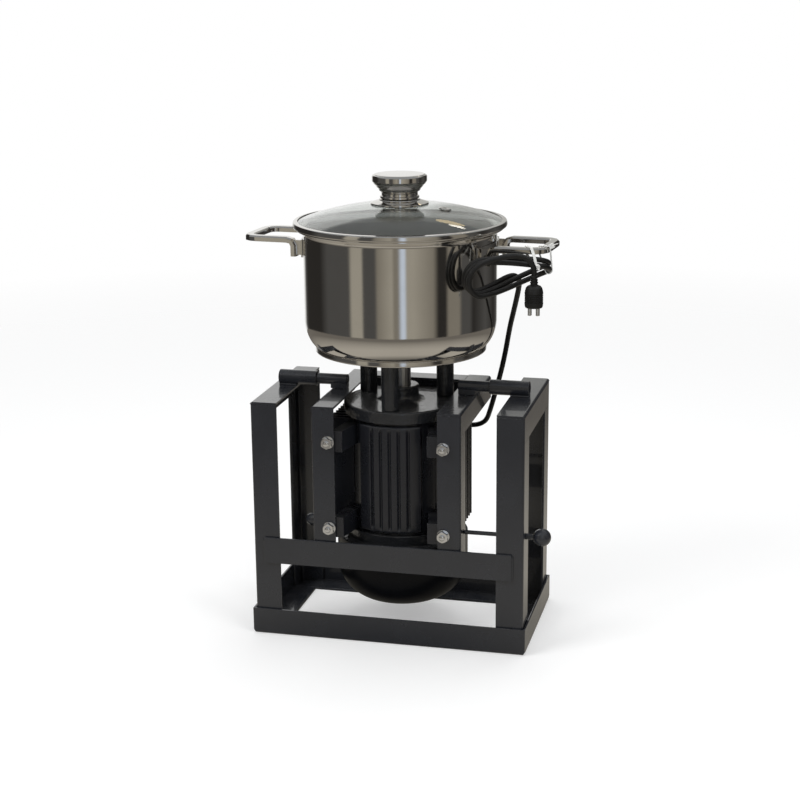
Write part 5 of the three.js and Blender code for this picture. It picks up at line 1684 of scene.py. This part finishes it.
@dataclass
class Motor:
    """The foot mounted motor: finned housing, shields, cowl, fan, terminal box, gland, columns."""

    casting_edge: float = 0.5
    cast_angle: float = 40.0
    belly: float = 73.0
    belly_half: float = 38.5
    belly_back: float = 57.0
    belly_low: float = 138.0
    belly_high: float = 275.0
    belly_edge: float = 2.2
    belly_steps: int = 154
    flute_pitch: float = 11.5
    flute_aside: float = 1.4
    flute_reach: int = 2
    flute_depth: float = 3.0
    flute_floor: float = 0.3
    flute_edge: float = 2.6
    top_low: float = 279.3
    top_high: float = 294.3
    shield: float = 73.0
    spigot: float = 54.7
    spigot_depth: float = 4.0
    bearing: float = 21.3
    bearing_depth: float = 7.3
    boss: float = 22.0
    boss_top: float = 313.3
    shaft_bore: float = 12.4
    fan_bore: float = 10.4
    fan_hub: float = 21.0
    fan_room: float = 24.0
    bottom_high: float = 133.7
    skirt_top: float = 119.7
    skirt_low: float = 111.7
    skirt: float = 81.9
    skirt_wall: float = 3.0
    cowl: float = 84.0
    cowl_top: float = 119.4
    cowl_low: float = 33.0
    cowl_corner: float = 50.0
    cowl_wall: float = 1.5
    cowl_steps: int = 38
    slots: int = 12
    slot_inner: float = 14.0
    slot_outer: float = 38.0
    slot_width: float = 5.0
    slot_edge: float = 2.3
    slot_cut: float = 8.0
    column: float = 11.0
    column_circle: float = 58.0
    column_angles: tuple[float, ...] = (270.0, 150.0, 30.0)
    column_low: float = 294.6
    column_high: float = 359.1
    cover_edge: float = 1.2
    gland_y: float = 97.8
    gland_z: float = 236.0
    gland_start: float = 32.3
    gland_corner: float = 10.0
    gland_height: float = 4.0
    gland_edge: float = 0.4
    gland_ribs: int = 6
    gland_pitch: float = 3.1

    def housing(self) -> None:
        """Softens the housing's cast edges and gives its belly rounded flutes."""
        body = Bench.taken("motor_housing", "motor_casting")
        low = place(-self.belly_half - 0.1, -self.belly - 4.0, self.belly_low - 0.5)
        high = place(self.belly_half + 0.1, -self.belly_back - 0.6, self.belly_high + 0.5)
        Bench.cut(body, Bench.block("belly_room", low, high, TINY, 1))
        body = Bench.bevelled(body, "motor_casting", self.casting_edge * MM, angle=self.cast_angle)
        dress(body, Body.CRADLE, Palette.motor_paint, "motor_housing")
        belly = Bench.skin("motor_belly", [self.flutes(*level) for level in self.belly_levels()],
                           smooth=SOFT)
        dress(belly, Body.CRADLE, Palette.motor_paint)

    def belly_levels(self) -> list[tuple[float, float, float]]:
        """Heights up the belly, each with its inset and the share of the flutes' depth.

        Returns:
            Height, inset and share of each level, from the lowest up.
        """
        steps = (0.0, 0.3, 0.9, 1.8, 3.0, 4.4, 5.8, 7.2, 8.6, 10.0)
        ends = []
        for step in steps:
            round_edge = max(0.0, 1.0 - step / self.belly_edge)
            inset = self.belly_edge * (1.0 - math.sqrt(1.0 - round_edge ** 2))
            ends.append((step, inset, smoothstep(step, 1.5, 9.0)))
        lower = [(self.belly_low + step, inset, share) for step, inset, share in ends]
        upper = [(self.belly_high - step, inset, share) for step, inset, share in reversed(ends)]
        return lower + upper

    def flutes(self, height: float, inset: float, share: float) -> list[Vector]:
        """One ring of the belly.

        Args:
            height: The ring's height, in millimetres.
            inset: How far the face lies behind its full reach.
            share: The share of the flutes' depth.

        Returns:
            The ring's points.
        """
        points = []
        for i in range(self.belly_steps + 1):
            across = self.belly_half * (2 * i / self.belly_steps - 1.0)
            nearest = round((across - self.flute_aside) / self.flute_pitch)
            nearest = max(-self.flute_reach, min(self.flute_reach, nearest))
            aside = abs(across - self.flute_aside - nearest * self.flute_pitch)
            rise = smoothstep(aside, self.flute_floor, self.flute_edge)
            depth = self.flute_depth * (1.0 - rise) * share
            reach = self.belly - inset - depth
            points.append(place(across, -math.sqrt(reach ** 2 - across ** 2), height))
        points.append(place(self.belly_half, -self.belly_back, height))
        points.append(place(-self.belly_half, -self.belly_back, height))
        return points

    def shields(self) -> None:
        """Turns both end shields."""
        seat, deep, spigot = self.bearing, self.bearing_depth, self.spigot_depth
        low, high = self.top_low, self.top_high
        corners = [
            (seat, low - spigot, 0.0), (self.spigot, low - spigot, 0.4), (self.spigot, low, 0.0),
            (self.shield, low, 0.8), (self.shield, high, 3.2), (self.boss + 5.5, high, 4.0),
            (self.boss, high + 5.0, 3.0), (self.boss, self.boss_top, 2.2),
            (self.shaft_bore, self.boss_top, 0.5), (self.shaft_bore, low + deep, 0.0),
            (seat, low + deep, 0.0),
        ]
        lathed("shield_top", rounded(corners) + [(seat, low - 3.9)], SHIELD_SIDES, Body.CRADLE,
               Palette.shield_paint, "end_shield_top")
        high, low = self.bottom_high, self.skirt_low
        inside, inner = self.skirt - self.skirt_wall, self.skirt_top - self.skirt_wall
        corners = [
            (seat, high + spigot, 0.0), (self.spigot, high + spigot, 0.4), (self.spigot, high, 0.0),
            (self.shield, high, 0.8), (self.shield, self.skirt_top, 1.5),
            (self.skirt, self.skirt_top, 1.0), (self.skirt, low, 0.4), (inside, low, 0.4),
            (inside, inner, 0.8), (self.fan_room, inner, 0.8), (self.fan_hub, low, 0.5),
            (self.fan_bore, low, 0.3), (self.fan_bore, high - deep, 0.0), (seat, high - deep, 0.0),
        ]
        lathed("shield_bottom", rounded(corners) + [(seat, high + 3.9)], SHIELD_SIDES, Body.CRADLE,
               Palette.shield_paint, "end_shield_bottom")

    def cowl_outline(self) -> list[tuple[float, float]]:
        """The cowl's section: rolled rim, round corner, flat end.

        Returns:
            The outline, as radius and height.
        """
        steps = self.cowl_steps
        centre = (self.cowl - self.cowl_corner, self.cowl_low + self.cowl_corner)

        def arc(radius: float) -> list[tuple[float, float]]:
            """A quarter turn from the side down to the end.

            Args:
                radius: The arc's radius.

            Returns:
                The arc's points.
            """
            turns = [math.pi / 2 * i / steps for i in range(steps + 1)]
            return [(centre[0] + radius * math.cos(a), centre[1] - radius * math.sin(a))
                    for a in turns]

        inner = arc(self.cowl_corner - self.cowl_wall)[::-1]
        roll = self.cowl_top - 0.4
        rim = [(self.cowl - self.cowl_wall, roll), (self.cowl - 1.1, self.cowl_top),
               (self.cowl - 0.4, self.cowl_top), (self.cowl, roll)]
        first, last = (0.0, self.cowl_low + self.cowl_wall), (0.0, self.cowl_low)
        return [first] + inner + rim + arc(self.cowl_corner) + [last]

    def fan_cover(self) -> None:
        """Turns the cowl and cuts its air slots."""
        cover = Bench.turned("cowl_pressed", scaled(self.cowl_outline()), COVER_SIDES, UP,
                             TILT_SHIFT)
        middle = (self.slot_inner + self.slot_outer) / 2
        for i in range(self.slots):
            Bench.clear()
            room = (self.slot_outer - self.slot_inner, self.slot_width, self.slot_cut)
            bpy.ops.mesh.primitive_cube_add(size=1.0, scale=tuple(side * MM for side in room))
            slot = bpy.context.active_object
            bpy.ops.object.transform_apply(location=True, rotation=True, scale=True)
            slot = Bench.bevelled(slot, "slot", self.slot_edge * MM, segments=5, angle=80.0)
            turn = Matrix.Rotation(2 * math.pi * i / self.slots, 4, "Z")
            out = Matrix.Translation(Vector((middle * MM, 0.0, 0.0)))
            slot.matrix_world = Matrix.Translation(place(0.0, 0.0, self.cowl_low)) @ turn @ out
            Bench.cut(cover, slot)
        Bench.settle(cover, "cowl_pressed")
        dress(cover, Body.CRADLE, Palette.cowl_paint, "fan_cowl")

    def columns(self) -> None:
        """Turns the three columns under the pot."""
        height = self.column_high - self.column_low
        outline = rounded([(0.0, 0.0, 0.0), (self.column, 0.0, 0.8), (self.column, height, 0.8),
                           (0.0, height, 0.0)])
        for i, degrees in enumerate(self.column_angles):
            angle = math.radians(degrees)
            x, y = self.column_circle * math.cos(angle), self.column_circle * math.sin(angle)
            origin = place(x, y, self.column_low)
            lathed(f"column_{i + 1}", outline, TUBE_SIDES, Body.CRADLE, Palette.shield_paint,
                   f"pot_column_{i + 1}", origin=origin)

    def box(self) -> None:
        """Softens the terminal box and its cover."""
        paint = Body.CRADLE, Palette.motor_paint
        softened("terminal_box", "box_tray", *paint, self.casting_edge, angle=self.cast_angle)
        softened("terminal_box_cover", "box_cover", *paint, self.cover_edge, 3, self.cast_angle)

    def gland(self) -> None:
        """Makes the gland: hexagon, dome nut, tapered relief with ribs."""
        origin = place(self.gland_start, self.gland_y, self.gland_z)
        corner, high = self.gland_corner, self.gland_height
        outline = scaled([(0.0, 0.0), (corner, 0.0), (corner, high), (0.0, high)])
        hexagon = Bench.turned("gland_hexagon", outline, HEXAGON, RIGHT, origin, CRISP)
        hexagon = Bench.bevelled(hexagon, "gland_hexagon", self.gland_edge * MM)
        dress(hexagon, Body.CRADLE, Palette.plastic, "cord_gland")
        outline = [(0.0, 3.9), (8.4, 3.9), (8.4, 7.6), (8.2, 8.2), (7.4, 9.1), (6.2, 9.8)]
        for i in range(self.gland_ribs):
            low = 10.3 + i * self.gland_pitch
            width = 6.0 - 0.26 * i
            outline += [(width, low), (width - 0.05, low + 1.7), (width - 0.9, low + 2.0),
                        (width - 0.95, low + 2.7)]
        outline += [(4.35, 29.2), (4.1, 29.9), (0.0, 29.9)]
        lathed("gland_relief", outline, ROD_SIDES, Body.CRADLE, Palette.rubber, axis=RIGHT,
               origin=origin)

    def build(self) -> None:
        """Builds the motor."""
        self.housing()
        self.shields()
        self.fan_cover()
        self.columns()
        self.box()
        self.gland()


@dataclass
class Pot:
    """The polished pot: bonded base, belly, straight wall, rolled lip, seal, two handles."""

    radius: float = 120.0
    top: float = 515.0
    bottom: float = 359.4
    base: float = 107.2
    groove: float = 366.0
    floor: float = 368.0
    wall: float = 1.5
    belly_height: float = 40.0
    belly_reach: float = 30.0
    belly_steps: int = 44
    lip: float = 129.0
    hole: float = 18.0
    seal_bore: float = 10.4
    seal_bush: float = 17.7
    seal_flange: float = 25.0
    handle_edge: float = 0.35
    handle_angle: float = 38.0
    sides: int = 192

    def belly(self, inset: float) -> list[tuple[float, float]]:
        """The curve from the base to the straight wall.

        Args:
            inset: How far inside the outer face the curve runs.

        Returns:
            The curve's points.
        """
        reach, height = self.belly_reach - inset, self.belly_height - inset
        foot = self.floor if inset > 0 else self.groove + self.wall
        middle = self.bottom + self.belly_height
        last = math.asin((middle - foot) / height)
        points = []
        for i in range(self.belly_steps + 1):
            angle = last * (1.0 - i / self.belly_steps)
            points.append((self.radius - self.belly_reach + reach * math.cos(angle),
                           middle - height * math.sin(angle)))
        return points

    def body(self) -> None:
        """Turns the pot."""
        foot = rounded([
            (self.hole, self.bottom, 0.0), (self.base, self.bottom, 1.6),
            (self.base, self.groove - 0.4, 1.0), (self.base - 1.6, self.groove + 0.1, 0.5),
            (self.base - 1.2, self.groove + 0.8, 0.0),
        ])
        rim = rounded([
            (self.radius, 500.0, 0.0), (self.radius, 508.4, 5.0), (126.0, 511.4, 3.0),
            (self.lip, 512.6, 1.3), (self.lip, self.top, 1.3), (124.2, self.top, 1.2),
            (self.radius - 0.2, 510.6, 3.5), (self.radius - self.wall, 503.0, 0.0),
        ])
        outline = foot + self.belly(0.0) + rim + self.belly(self.wall)[::-1] + [
            (self.hole, self.floor), (self.hole, self.bottom + 0.05)]
        lathed("pot_polished", outline, self.sides, Body.CRADLE, Palette.pot_steel, "pot_body")

    def seal(self) -> None:
        """Turns the seal bush in the pot's floor."""
        bore, bush, flange = self.seal_bore, self.seal_bush, self.seal_flange
        outline = rounded([
            (11.9, 356.1, 0.0), (flange, 356.1, 0.8), (flange, 359.1, 0.5), (bush, 359.1, 0.0),
            (bush, 368.3, 0.0), (flange, 368.3, 0.5), (24.2, 371.0, 1.4), (11.4, 371.3, 0.6),
            (bore, 370.0, 0.0), (bore, 357.6, 0.0),
        ]) + [(11.85, 356.15)]
        lathed("seal_bush", outline, TUBE_SIDES, Body.CRADLE, Palette.rubber, "shaft_seal")

    def handles(self) -> None:
        """Rounds the edges of both strap handles."""
        for side in Side:
            softened(f"pot_handle_{side.label}", f"handle_{side.label}", Body.CRADLE,
                     Palette.polished, self.handle_edge, angle=self.handle_angle)

    def build(self) -> None:
        """Builds the pot."""
        self.body()
        self.seal()
        self.handles()


@dataclass
class Lid:
    """The glass lid: dome, rolled band, vent, flange, knob, clamp."""

    radius: float = 128.0
    edge: float = 520.5
    top: float = 543.5
    thick: float = 3.5
    hole: float = 5.3
    vent_circle: float = 62.0
    vent_angle: float = -14.0
    vent_hole: float = 5.0
    seat_top: float = 548.0
    knob_top: float = 579.0
    sides: int = 160
    dome_steps: int = 60
    gap: float = 0.3
    flange: float = 36.0
    clamp_plate: float = 27.0
    stud: float = 3.3

    def sphere(self) -> float:
        """The radius of the sphere that the dome is a part of."""
        rise = self.top - self.edge
        return (self.radius ** 2 + rise ** 2) / (2 * rise)

    def height(self, radius: float) -> float:
        """The height of the glass's upper face."""
        sphere = self.sphere()
        return self.top - sphere + math.sqrt(sphere ** 2 - radius ** 2)

    def vent_turn(self) -> Matrix:
        """The vent's place, square to the dome.

        Returns:
            The vent's place and turn in the model's frame.
        """
        lean = Matrix.Rotation(math.asin(self.vent_circle / self.sphere()), 4, "Y")
        out = Vector((self.vent_circle, 0.0, self.height(self.vent_circle))) * MM
        turn = Matrix.Rotation(math.radians(self.vent_angle), 4, "Z")
        return Matrix.Translation(TILT_SHIFT) @ turn @ Matrix.Translation(out) @ lean

    def dome(self) -> None:
        """Turns the glass with ground edges and drills the vent's hole."""
        steps, ground = self.dome_steps, 0.5
        radii = [self.hole + (self.radius - ground - self.hole) * i / steps
                 for i in range(steps + 1)]
        outer = [(r, self.height(r)) for r in radii]
        inner = [(r, self.height(r) - self.thick) for r in radii]
        rim = self.height(self.radius)
        edge = [(self.radius, rim - ground), (self.radius, rim - self.thick + ground)]
        outline = outer + edge + inner[::-1] + [(self.hole, self.height(self.hole) - 0.01)]
        glass = Bench.turned("lid_dome", scaled(outline), self.sides, UP, TILT_SHIFT)
        bit = scaled([(0, -9), (self.vent_hole, -9), (self.vent_hole, 9), (0, 9)])
        drill = Bench.turned("drill", bit, ROD_SIDES)
        drill.matrix_world = self.vent_turn()
        Bench.cut(glass, drill)
        Bench.settle(glass, "lid_dome")
        dress(glass, Body.LID, Palette.glass, "lid_glass")

    def band(self) -> None:
        """Turns the rolled band round the glass."""
        over = self.height(self.radius) + self.gap
        lip = self.radius - 1.6
        lip_over = self.height(lip) + self.gap
        outer = self.radius + 4.5
        under = self.radius - 3.6
        seat = self.radius + self.gap
        corners = [
            (under, 515.3, 0.0), (outer - 0.4, 515.3, 1.2), (outer, 516.6, 0.8),
            (outer, 518.4, 0.8), (outer - 1.0, over + 0.9, 1.2), (lip, lip_over + 1.0, 0.5),
            (lip, lip_over, 0.2), (seat, over, 0.3), (seat, 516.7, 0.3), (under, 516.7, 0.3),
            (under, 515.4, 0.0),
        ]
        lathed("lid_band", rounded(corners), self.sides, Body.LID, Palette.polished, "lid_rim_band")

    def vent(self) -> None:
        """Turns the steam vent's grommet."""
        outline = rounded([
            (1.8, -3.5, 0.0), (4.7, -3.5, 0.3), (4.7, 0.3, 0.0), (7.5, 0.3, 0.2), (7.5, 0.9, 0.3),
            (6.6, 1.7, 0.4), (2.4, 1.7, 0.4), (1.8, 1.2, 0.2), (1.8, -3.4, 0.0),
        ])
        vent = Bench.turned("vent_grommet", scaled(outline), TUBE_SIDES)
        vent.matrix_world = self.vent_turn()
        Bench.settle(vent, "vent_grommet")
        dress(vent, Body.LID, Palette.polished, "lid_vent")

    def seat(self) -> None:
        """Turns the bell shaped steel flange between the glass and the knob."""
        low = self.height(self.hole) + self.gap
        edge = self.height(self.flange) + self.gap
        disc = [(self.stud, low), (self.hole, low), (20.0, self.height(20.0) + self.gap)]
        upper = rounded([
            (self.flange, edge, 0.0), (self.flange, edge + 1.4, 0.6), (29.0, edge + 3.6, 3.0),
            (25.4, self.seat_top - 1.2, 1.2), (25.0, self.seat_top, 0.5),
            (self.stud, self.seat_top, 0.0), (self.stud, low + 0.05, 0.0),
        ])
        lathed("knob_flange", disc + upper, HUB_SIDES, Body.LID, Palette.polished, "lid_knob_seat")

    def knob(self) -> None:
        """Turns the knob: bright neck ring, cone, upright band, crowned top."""
        low = self.seat_top + self.gap
        corners = [
            (0.0, low + 18.0, 0.0), (self.stud, low + 18.0, 0.0), (self.stud, low, 0.3),
            (22.4, low, 0.5), (24.3, low + 1.0, 0.7), (24.3, low + 3.2, 0.7),
            (22.4, low + 4.2, 0.5), (22.6, low + 7.8, 1.5), (24.2, low + 9.6, 0.8),
            (25.4, low + 10.0, 0.3), (26.8, low + 13.4, 1.0), (28.0, low + 13.8, 0.3),
            (30.8, low + 17.8, 1.0), (31.9, low + 18.2, 0.3), (33.4, low + 20.6, 1.0),
            (34.0, low + 21.6, 0.6), (34.0, low + 27.4, 0.7), (33.0, low + 28.9, 0.6),
            (31.6, low + 29.2, 0.2), (31.0, low + 29.9, 0.4), (26.0, low + 30.4, 2.0),
            (0.0, self.knob_top, 0.0),
        ]
        lathed("knob_turned", rounded(corners), COVER_SIDES, Body.LID, Palette.polished, "lid_knob")

    def clamp(self) -> None:
        """Turns the clamp plate and its screw below the glass."""
        top = self.height(self.hole) - self.thick - self.gap
        edge = self.height(self.clamp_plate) - self.thick - self.gap
        low, screw_top = top - 8.0, self.seat_top + 14.4
        outline = rounded([
            (0.0, low, 0.0), (6.0, low, 0.9), (6.0, low + 3.2, 0.6),
            (self.clamp_plate, edge - 1.2, 0.5), (self.clamp_plate, edge, 0.4),
            (self.hole, top, 0.0), (3.0, top, 0.2), (3.0, screw_top, 0.4), (0.0, screw_top, 0.0),
        ])
        lathed("clamp_plate", outline, TUBE_SIDES, Body.LID, Palette.polished, "lid_clamp_screw")

    def build(self) -> None:
        """Builds the lid."""
        self.dome()
        self.band()
        self.vent()
        self.seat()
        self.knob()
        self.clamp()


@dataclass
class Blades:
    """The turning parts in the pot: domed hub and two ground cutters."""

    hub: float = 15.0
    low: float = 373.0
    high: float = 435.0
    bore: float = 8.3
    shaft_top: float = 420.3
    cutter_edge: float = 0.45

    def build(self) -> None:
        """Turns the hub and rounds the cutters' edges."""
        corners = [
            (0.0, self.shaft_top, 0.0), (self.bore, self.shaft_top, 0.0),
            (self.bore, self.low, 0.4), (self.hub, self.low, 0.6),
            (self.hub, self.high - 12.5, 4.0), (11.5, self.high - 3.4, 4.0),
            (5.0, self.high - 0.4, 2.0), (0.0, self.high, 0.0),
        ]
        lathed("hub_turned", rounded(corners), HUB_SIDES, Body.ROTOR, Palette.polished, "blade_hub")
        for level in ("lower", "upper"):
            softened(f"cutter_{level}", f"sickle_{level}", Body.ROTOR, Palette.ground,
                     self.cutter_edge, angle=40.0)


@dataclass
class Tie:
    """One nylon tie drawn tight round a handle's bar and the cord's runs below it."""

    name: str
    centre: Vector
    across: Vector
    reach: tuple[float, float]
    lowest: float
    bar: tuple[float, float, float, float]
    head_turn: float
    tail_length: float
    width: float = 3.6
    thick: float = 1.2
    edge: float = 0.28
    slack: float = 0.15
    points: int = 96
    head_out: float = 2.2
    tail_root: float = 1.5
    tail_less: float = 0.8
    tail_thinning: float = 0.35
    tail_narrowing: float = 0.25
    tail_sag: float = 0.055
    tail_steps: int = 8

    def crossings(self, route: Sequence[Vector]) -> list[tuple[float, float]]:
        """Where the cord's route passes through the tie's plane, beside the bar.

        Args:
            route: The cord's points, in millimetres.

        Returns:
            The distance across and the height of each crossing.
        """
        through = self.across.cross(UP)
        found = []
        for start, end in zip(route, route[1:]):
            before, after = (start - self.centre).dot(through), (end - self.centre).dot(through)
            if before * after > 0.0 or before == after:
                continue
            place_on = start.lerp(end, before / (before - after))
            across = place_on.dot(self.across)
            if self.reach[0] < across < self.reach[1] and place_on.z > self.lowest:
                found.append((across, place_on.z))
        return found

    def hull(self, centres: Sequence[tuple[float, float]], radius: float) -> list[Vector]:
        """The tight outline round the bar and the cord's runs.

        Args:
            centres: The runs' places in the plane.
            radius: The cord's radius.

        Returns:
            The outline's corners, anticlockwise.
        """
        cloud = []
        for across, height in centres:
            cloud += self.ring(across, height, radius + self.slack + self.thick / 2, 24)
        left, right, low, high = self.bar
        for across in (left, right):
            for height in (low, high):
                cloud += self.ring(across, height, self.slack + self.thick / 2, 12)
        cloud.sort()
        halves = []
        for ordered in (cloud, cloud[::-1]):
            chain: list[tuple[float, float]] = []
            for point in ordered:
                while len(chain) > 1 and self.turn(chain[-2], chain[-1], point) <= 0.0:
                    chain.pop()
                chain.append(point)
            halves += chain[:-1]
        return [Vector((across, height)) for across, height in halves]

    @staticmethod
    def ring(across: float, height: float, radius: float, count: int) -> list[tuple[float, float]]:
        """Points spaced evenly round a circle of the plane."""
        turns = [2 * math.pi * i / count for i in range(count)]
        return [(across + radius * math.cos(a), height + radius * math.sin(a)) for a in turns]

    @staticmethod
    def turn(first: Sequence[float], middle: Sequence[float], last: Sequence[float]) -> float:
        """Twice the area of a corner, positive where it turns left."""
        return ((middle[0] - first[0]) * (last[1] - first[1])
                - (middle[1] - first[1]) * (last[0] - first[0]))

    def even(self, corners: Sequence[Vector]) -> list[Vector]:
        """The outline walked in even steps.

        Args:
            corners: The outline's corners.

        Returns:
            As many points as the strap has steps.
        """
        loop = list(corners) + [corners[0]]
        total = sum((b - a).length for a, b in zip(loop, loop[1:]))
        walked, spots, place_at = 0.0, [], 0
        for i in range(self.points):
            wanted = total * i / self.points
            while walked + (loop[place_at + 1] - loop[place_at]).length < wanted:
                walked += (loop[place_at + 1] - loop[place_at]).length
                place_at += 1
            length = (loop[place_at + 1] - loop[place_at]).length
            spots.append(loop[place_at].lerp(loop[place_at + 1], (wanted - walked) / length))
        return spots

    def section(self, spot: Vector, outward: Vector, width: float, thick: float) -> list[Vector]:
        """The strap's eight sided section at one spot of the plane, in metres.

        Args:
            spot: The place in the plane, in millimetres.
            outward: The strap's outward direction there.
            width: The strap's width.
            thick: Its thickness.

        Returns:
            The section's corners.
        """
        through = self.across.cross(UP)
        origin = through * self.centre.dot(through) + self.across * spot.x + UP * spot.y
        normal = self.across * outward.x + UP * outward.y
        w, t, edge = width / 2, thick / 2, self.edge
        corners = [(w - edge, -t), (w, edge - t), (w, t - edge), (w - edge, t),
                   (edge - w, t), (-w, t - edge), (-w, edge - t), (edge - w, -t)]
        return [(origin + through * a + normal * b) * MM + TILT_SHIFT for a, b in corners]

    def build(self, cord: MainsCord) -> None:
        """Makes the strap, its head and its tail.

        Args:
            cord: The cord that the tie holds.
        """
        runs = self.crossings(cord.hank())
        outline = self.even(self.hull(runs, cord.diameter / 2))
        rings, normals = [], []
        for i, spot in enumerate(outline):
            ahead = (outline[(i + 1) % self.points] - outline[i - 1]).normalized()
            normals.append(Vector((ahead.y, -ahead.x)))
            rings.append(self.section(spot, normals[i], self.width, self.thick))
        strap = Bench.skin(self.name, rings, loop=True, smooth=SOFT)
        dress(strap, Body.CRADLE, Palette.nylon, f"cable_{self.name}")
        turn = math.radians(self.head_turn)
        wanted = Vector((math.cos(turn), math.sin(turn)))
        at = max(range(self.points), key=lambda i: normals[i].dot(wanted))
        outward = normals[at]
        spot = outline[at] + outward * self.head_out
        along = Vector((-outward.y, outward.x))
        blocks = {-3.0: (5.4, 4.4), -2.6: (6.2, 5.2), 2.2: (6.2, 5.2), 2.6: (6.0, 4.9),
                  3.0: (5.4, 4.2)}
        head = [self.section(spot + along * up, outward, *size) for up, size in blocks.items()]
        dress(Bench.skin(f"{self.name}_head", head, smooth=40.0), Body.CRADLE, Palette.nylon)
        tail = []
        for i in range(self.tail_steps + 1):
            walked = self.tail_length * i / self.tail_steps
            sag = Vector((0.0, self.tail_sag * walked ** 2 / self.tail_length))
            thin = self.thick * (1.0 - self.tail_thinning * i / self.tail_steps)
            taper = 1.0 - self.tail_narrowing * i / self.tail_steps
            narrow = (self.width - self.tail_less) * taper
            root = spot + outward * (self.tail_root + walked)
            tail.append(self.section(root - sag, along, narrow, thin))
        dress(Bench.skin(f"{self.name}_tail", tail, smooth=SOFT), Body.CRADLE, Palette.nylon)


@dataclass
class Ties:
    """The two ties: one on the near arm, one on the end bar."""

    near_along: float = 116.0
    end_along: float = -26.0
    handle_turn: float = -5.0

    def build(self, cord: MainsCord) -> None:
        """Places both ties.

        Args:
            cord: The cord that they hold.
        """
        near = Tie("tie_near", cord.sideways() * self.near_along, cord.outwards(), (142.0, 162.0),
                   474.0, (127.5, 142.5, 494.0, 501.0), -12.0, 6.0)
        near.build(cord)
        turn = math.radians(self.handle_turn)
        out = Vector((math.cos(turn), math.sin(turn), 0.0))
        side = Vector((-math.sin(turn), math.cos(turn), 0.0))
        end = Tie("tie_end", side * self.end_along, out, (176.0, 201.0), 464.0,
                  (184.0, 196.0, 494.0, 501.0), 30.0, 7.0)
        end.build(cord)


def main() -> None:
    """Builds the scene piece by piece."""
    logging.basicConfig(level=logging.INFO, format="%(message)s")
    studio = Studio()
    studio.camera()
    cord = MainsCord()
    plug = Plug().build(cord.foot())
    cord.build(plug)
    studio.build()
    for assembly in (Stand(), Cradle(), FootBolts(), LockPin(), Motor(), Pot(), Lid(), Blades()):
        assembly.build()
    Ties().build(cord)
    repaint("fan", Palette.plastic)
    repaint("stator", Palette.winding)
    for name in ("rotor_shaft", "bearing_top", "bearing_bottom"):
        repaint(name, Palette.ground)


if __name__ == "__main__":
    main()
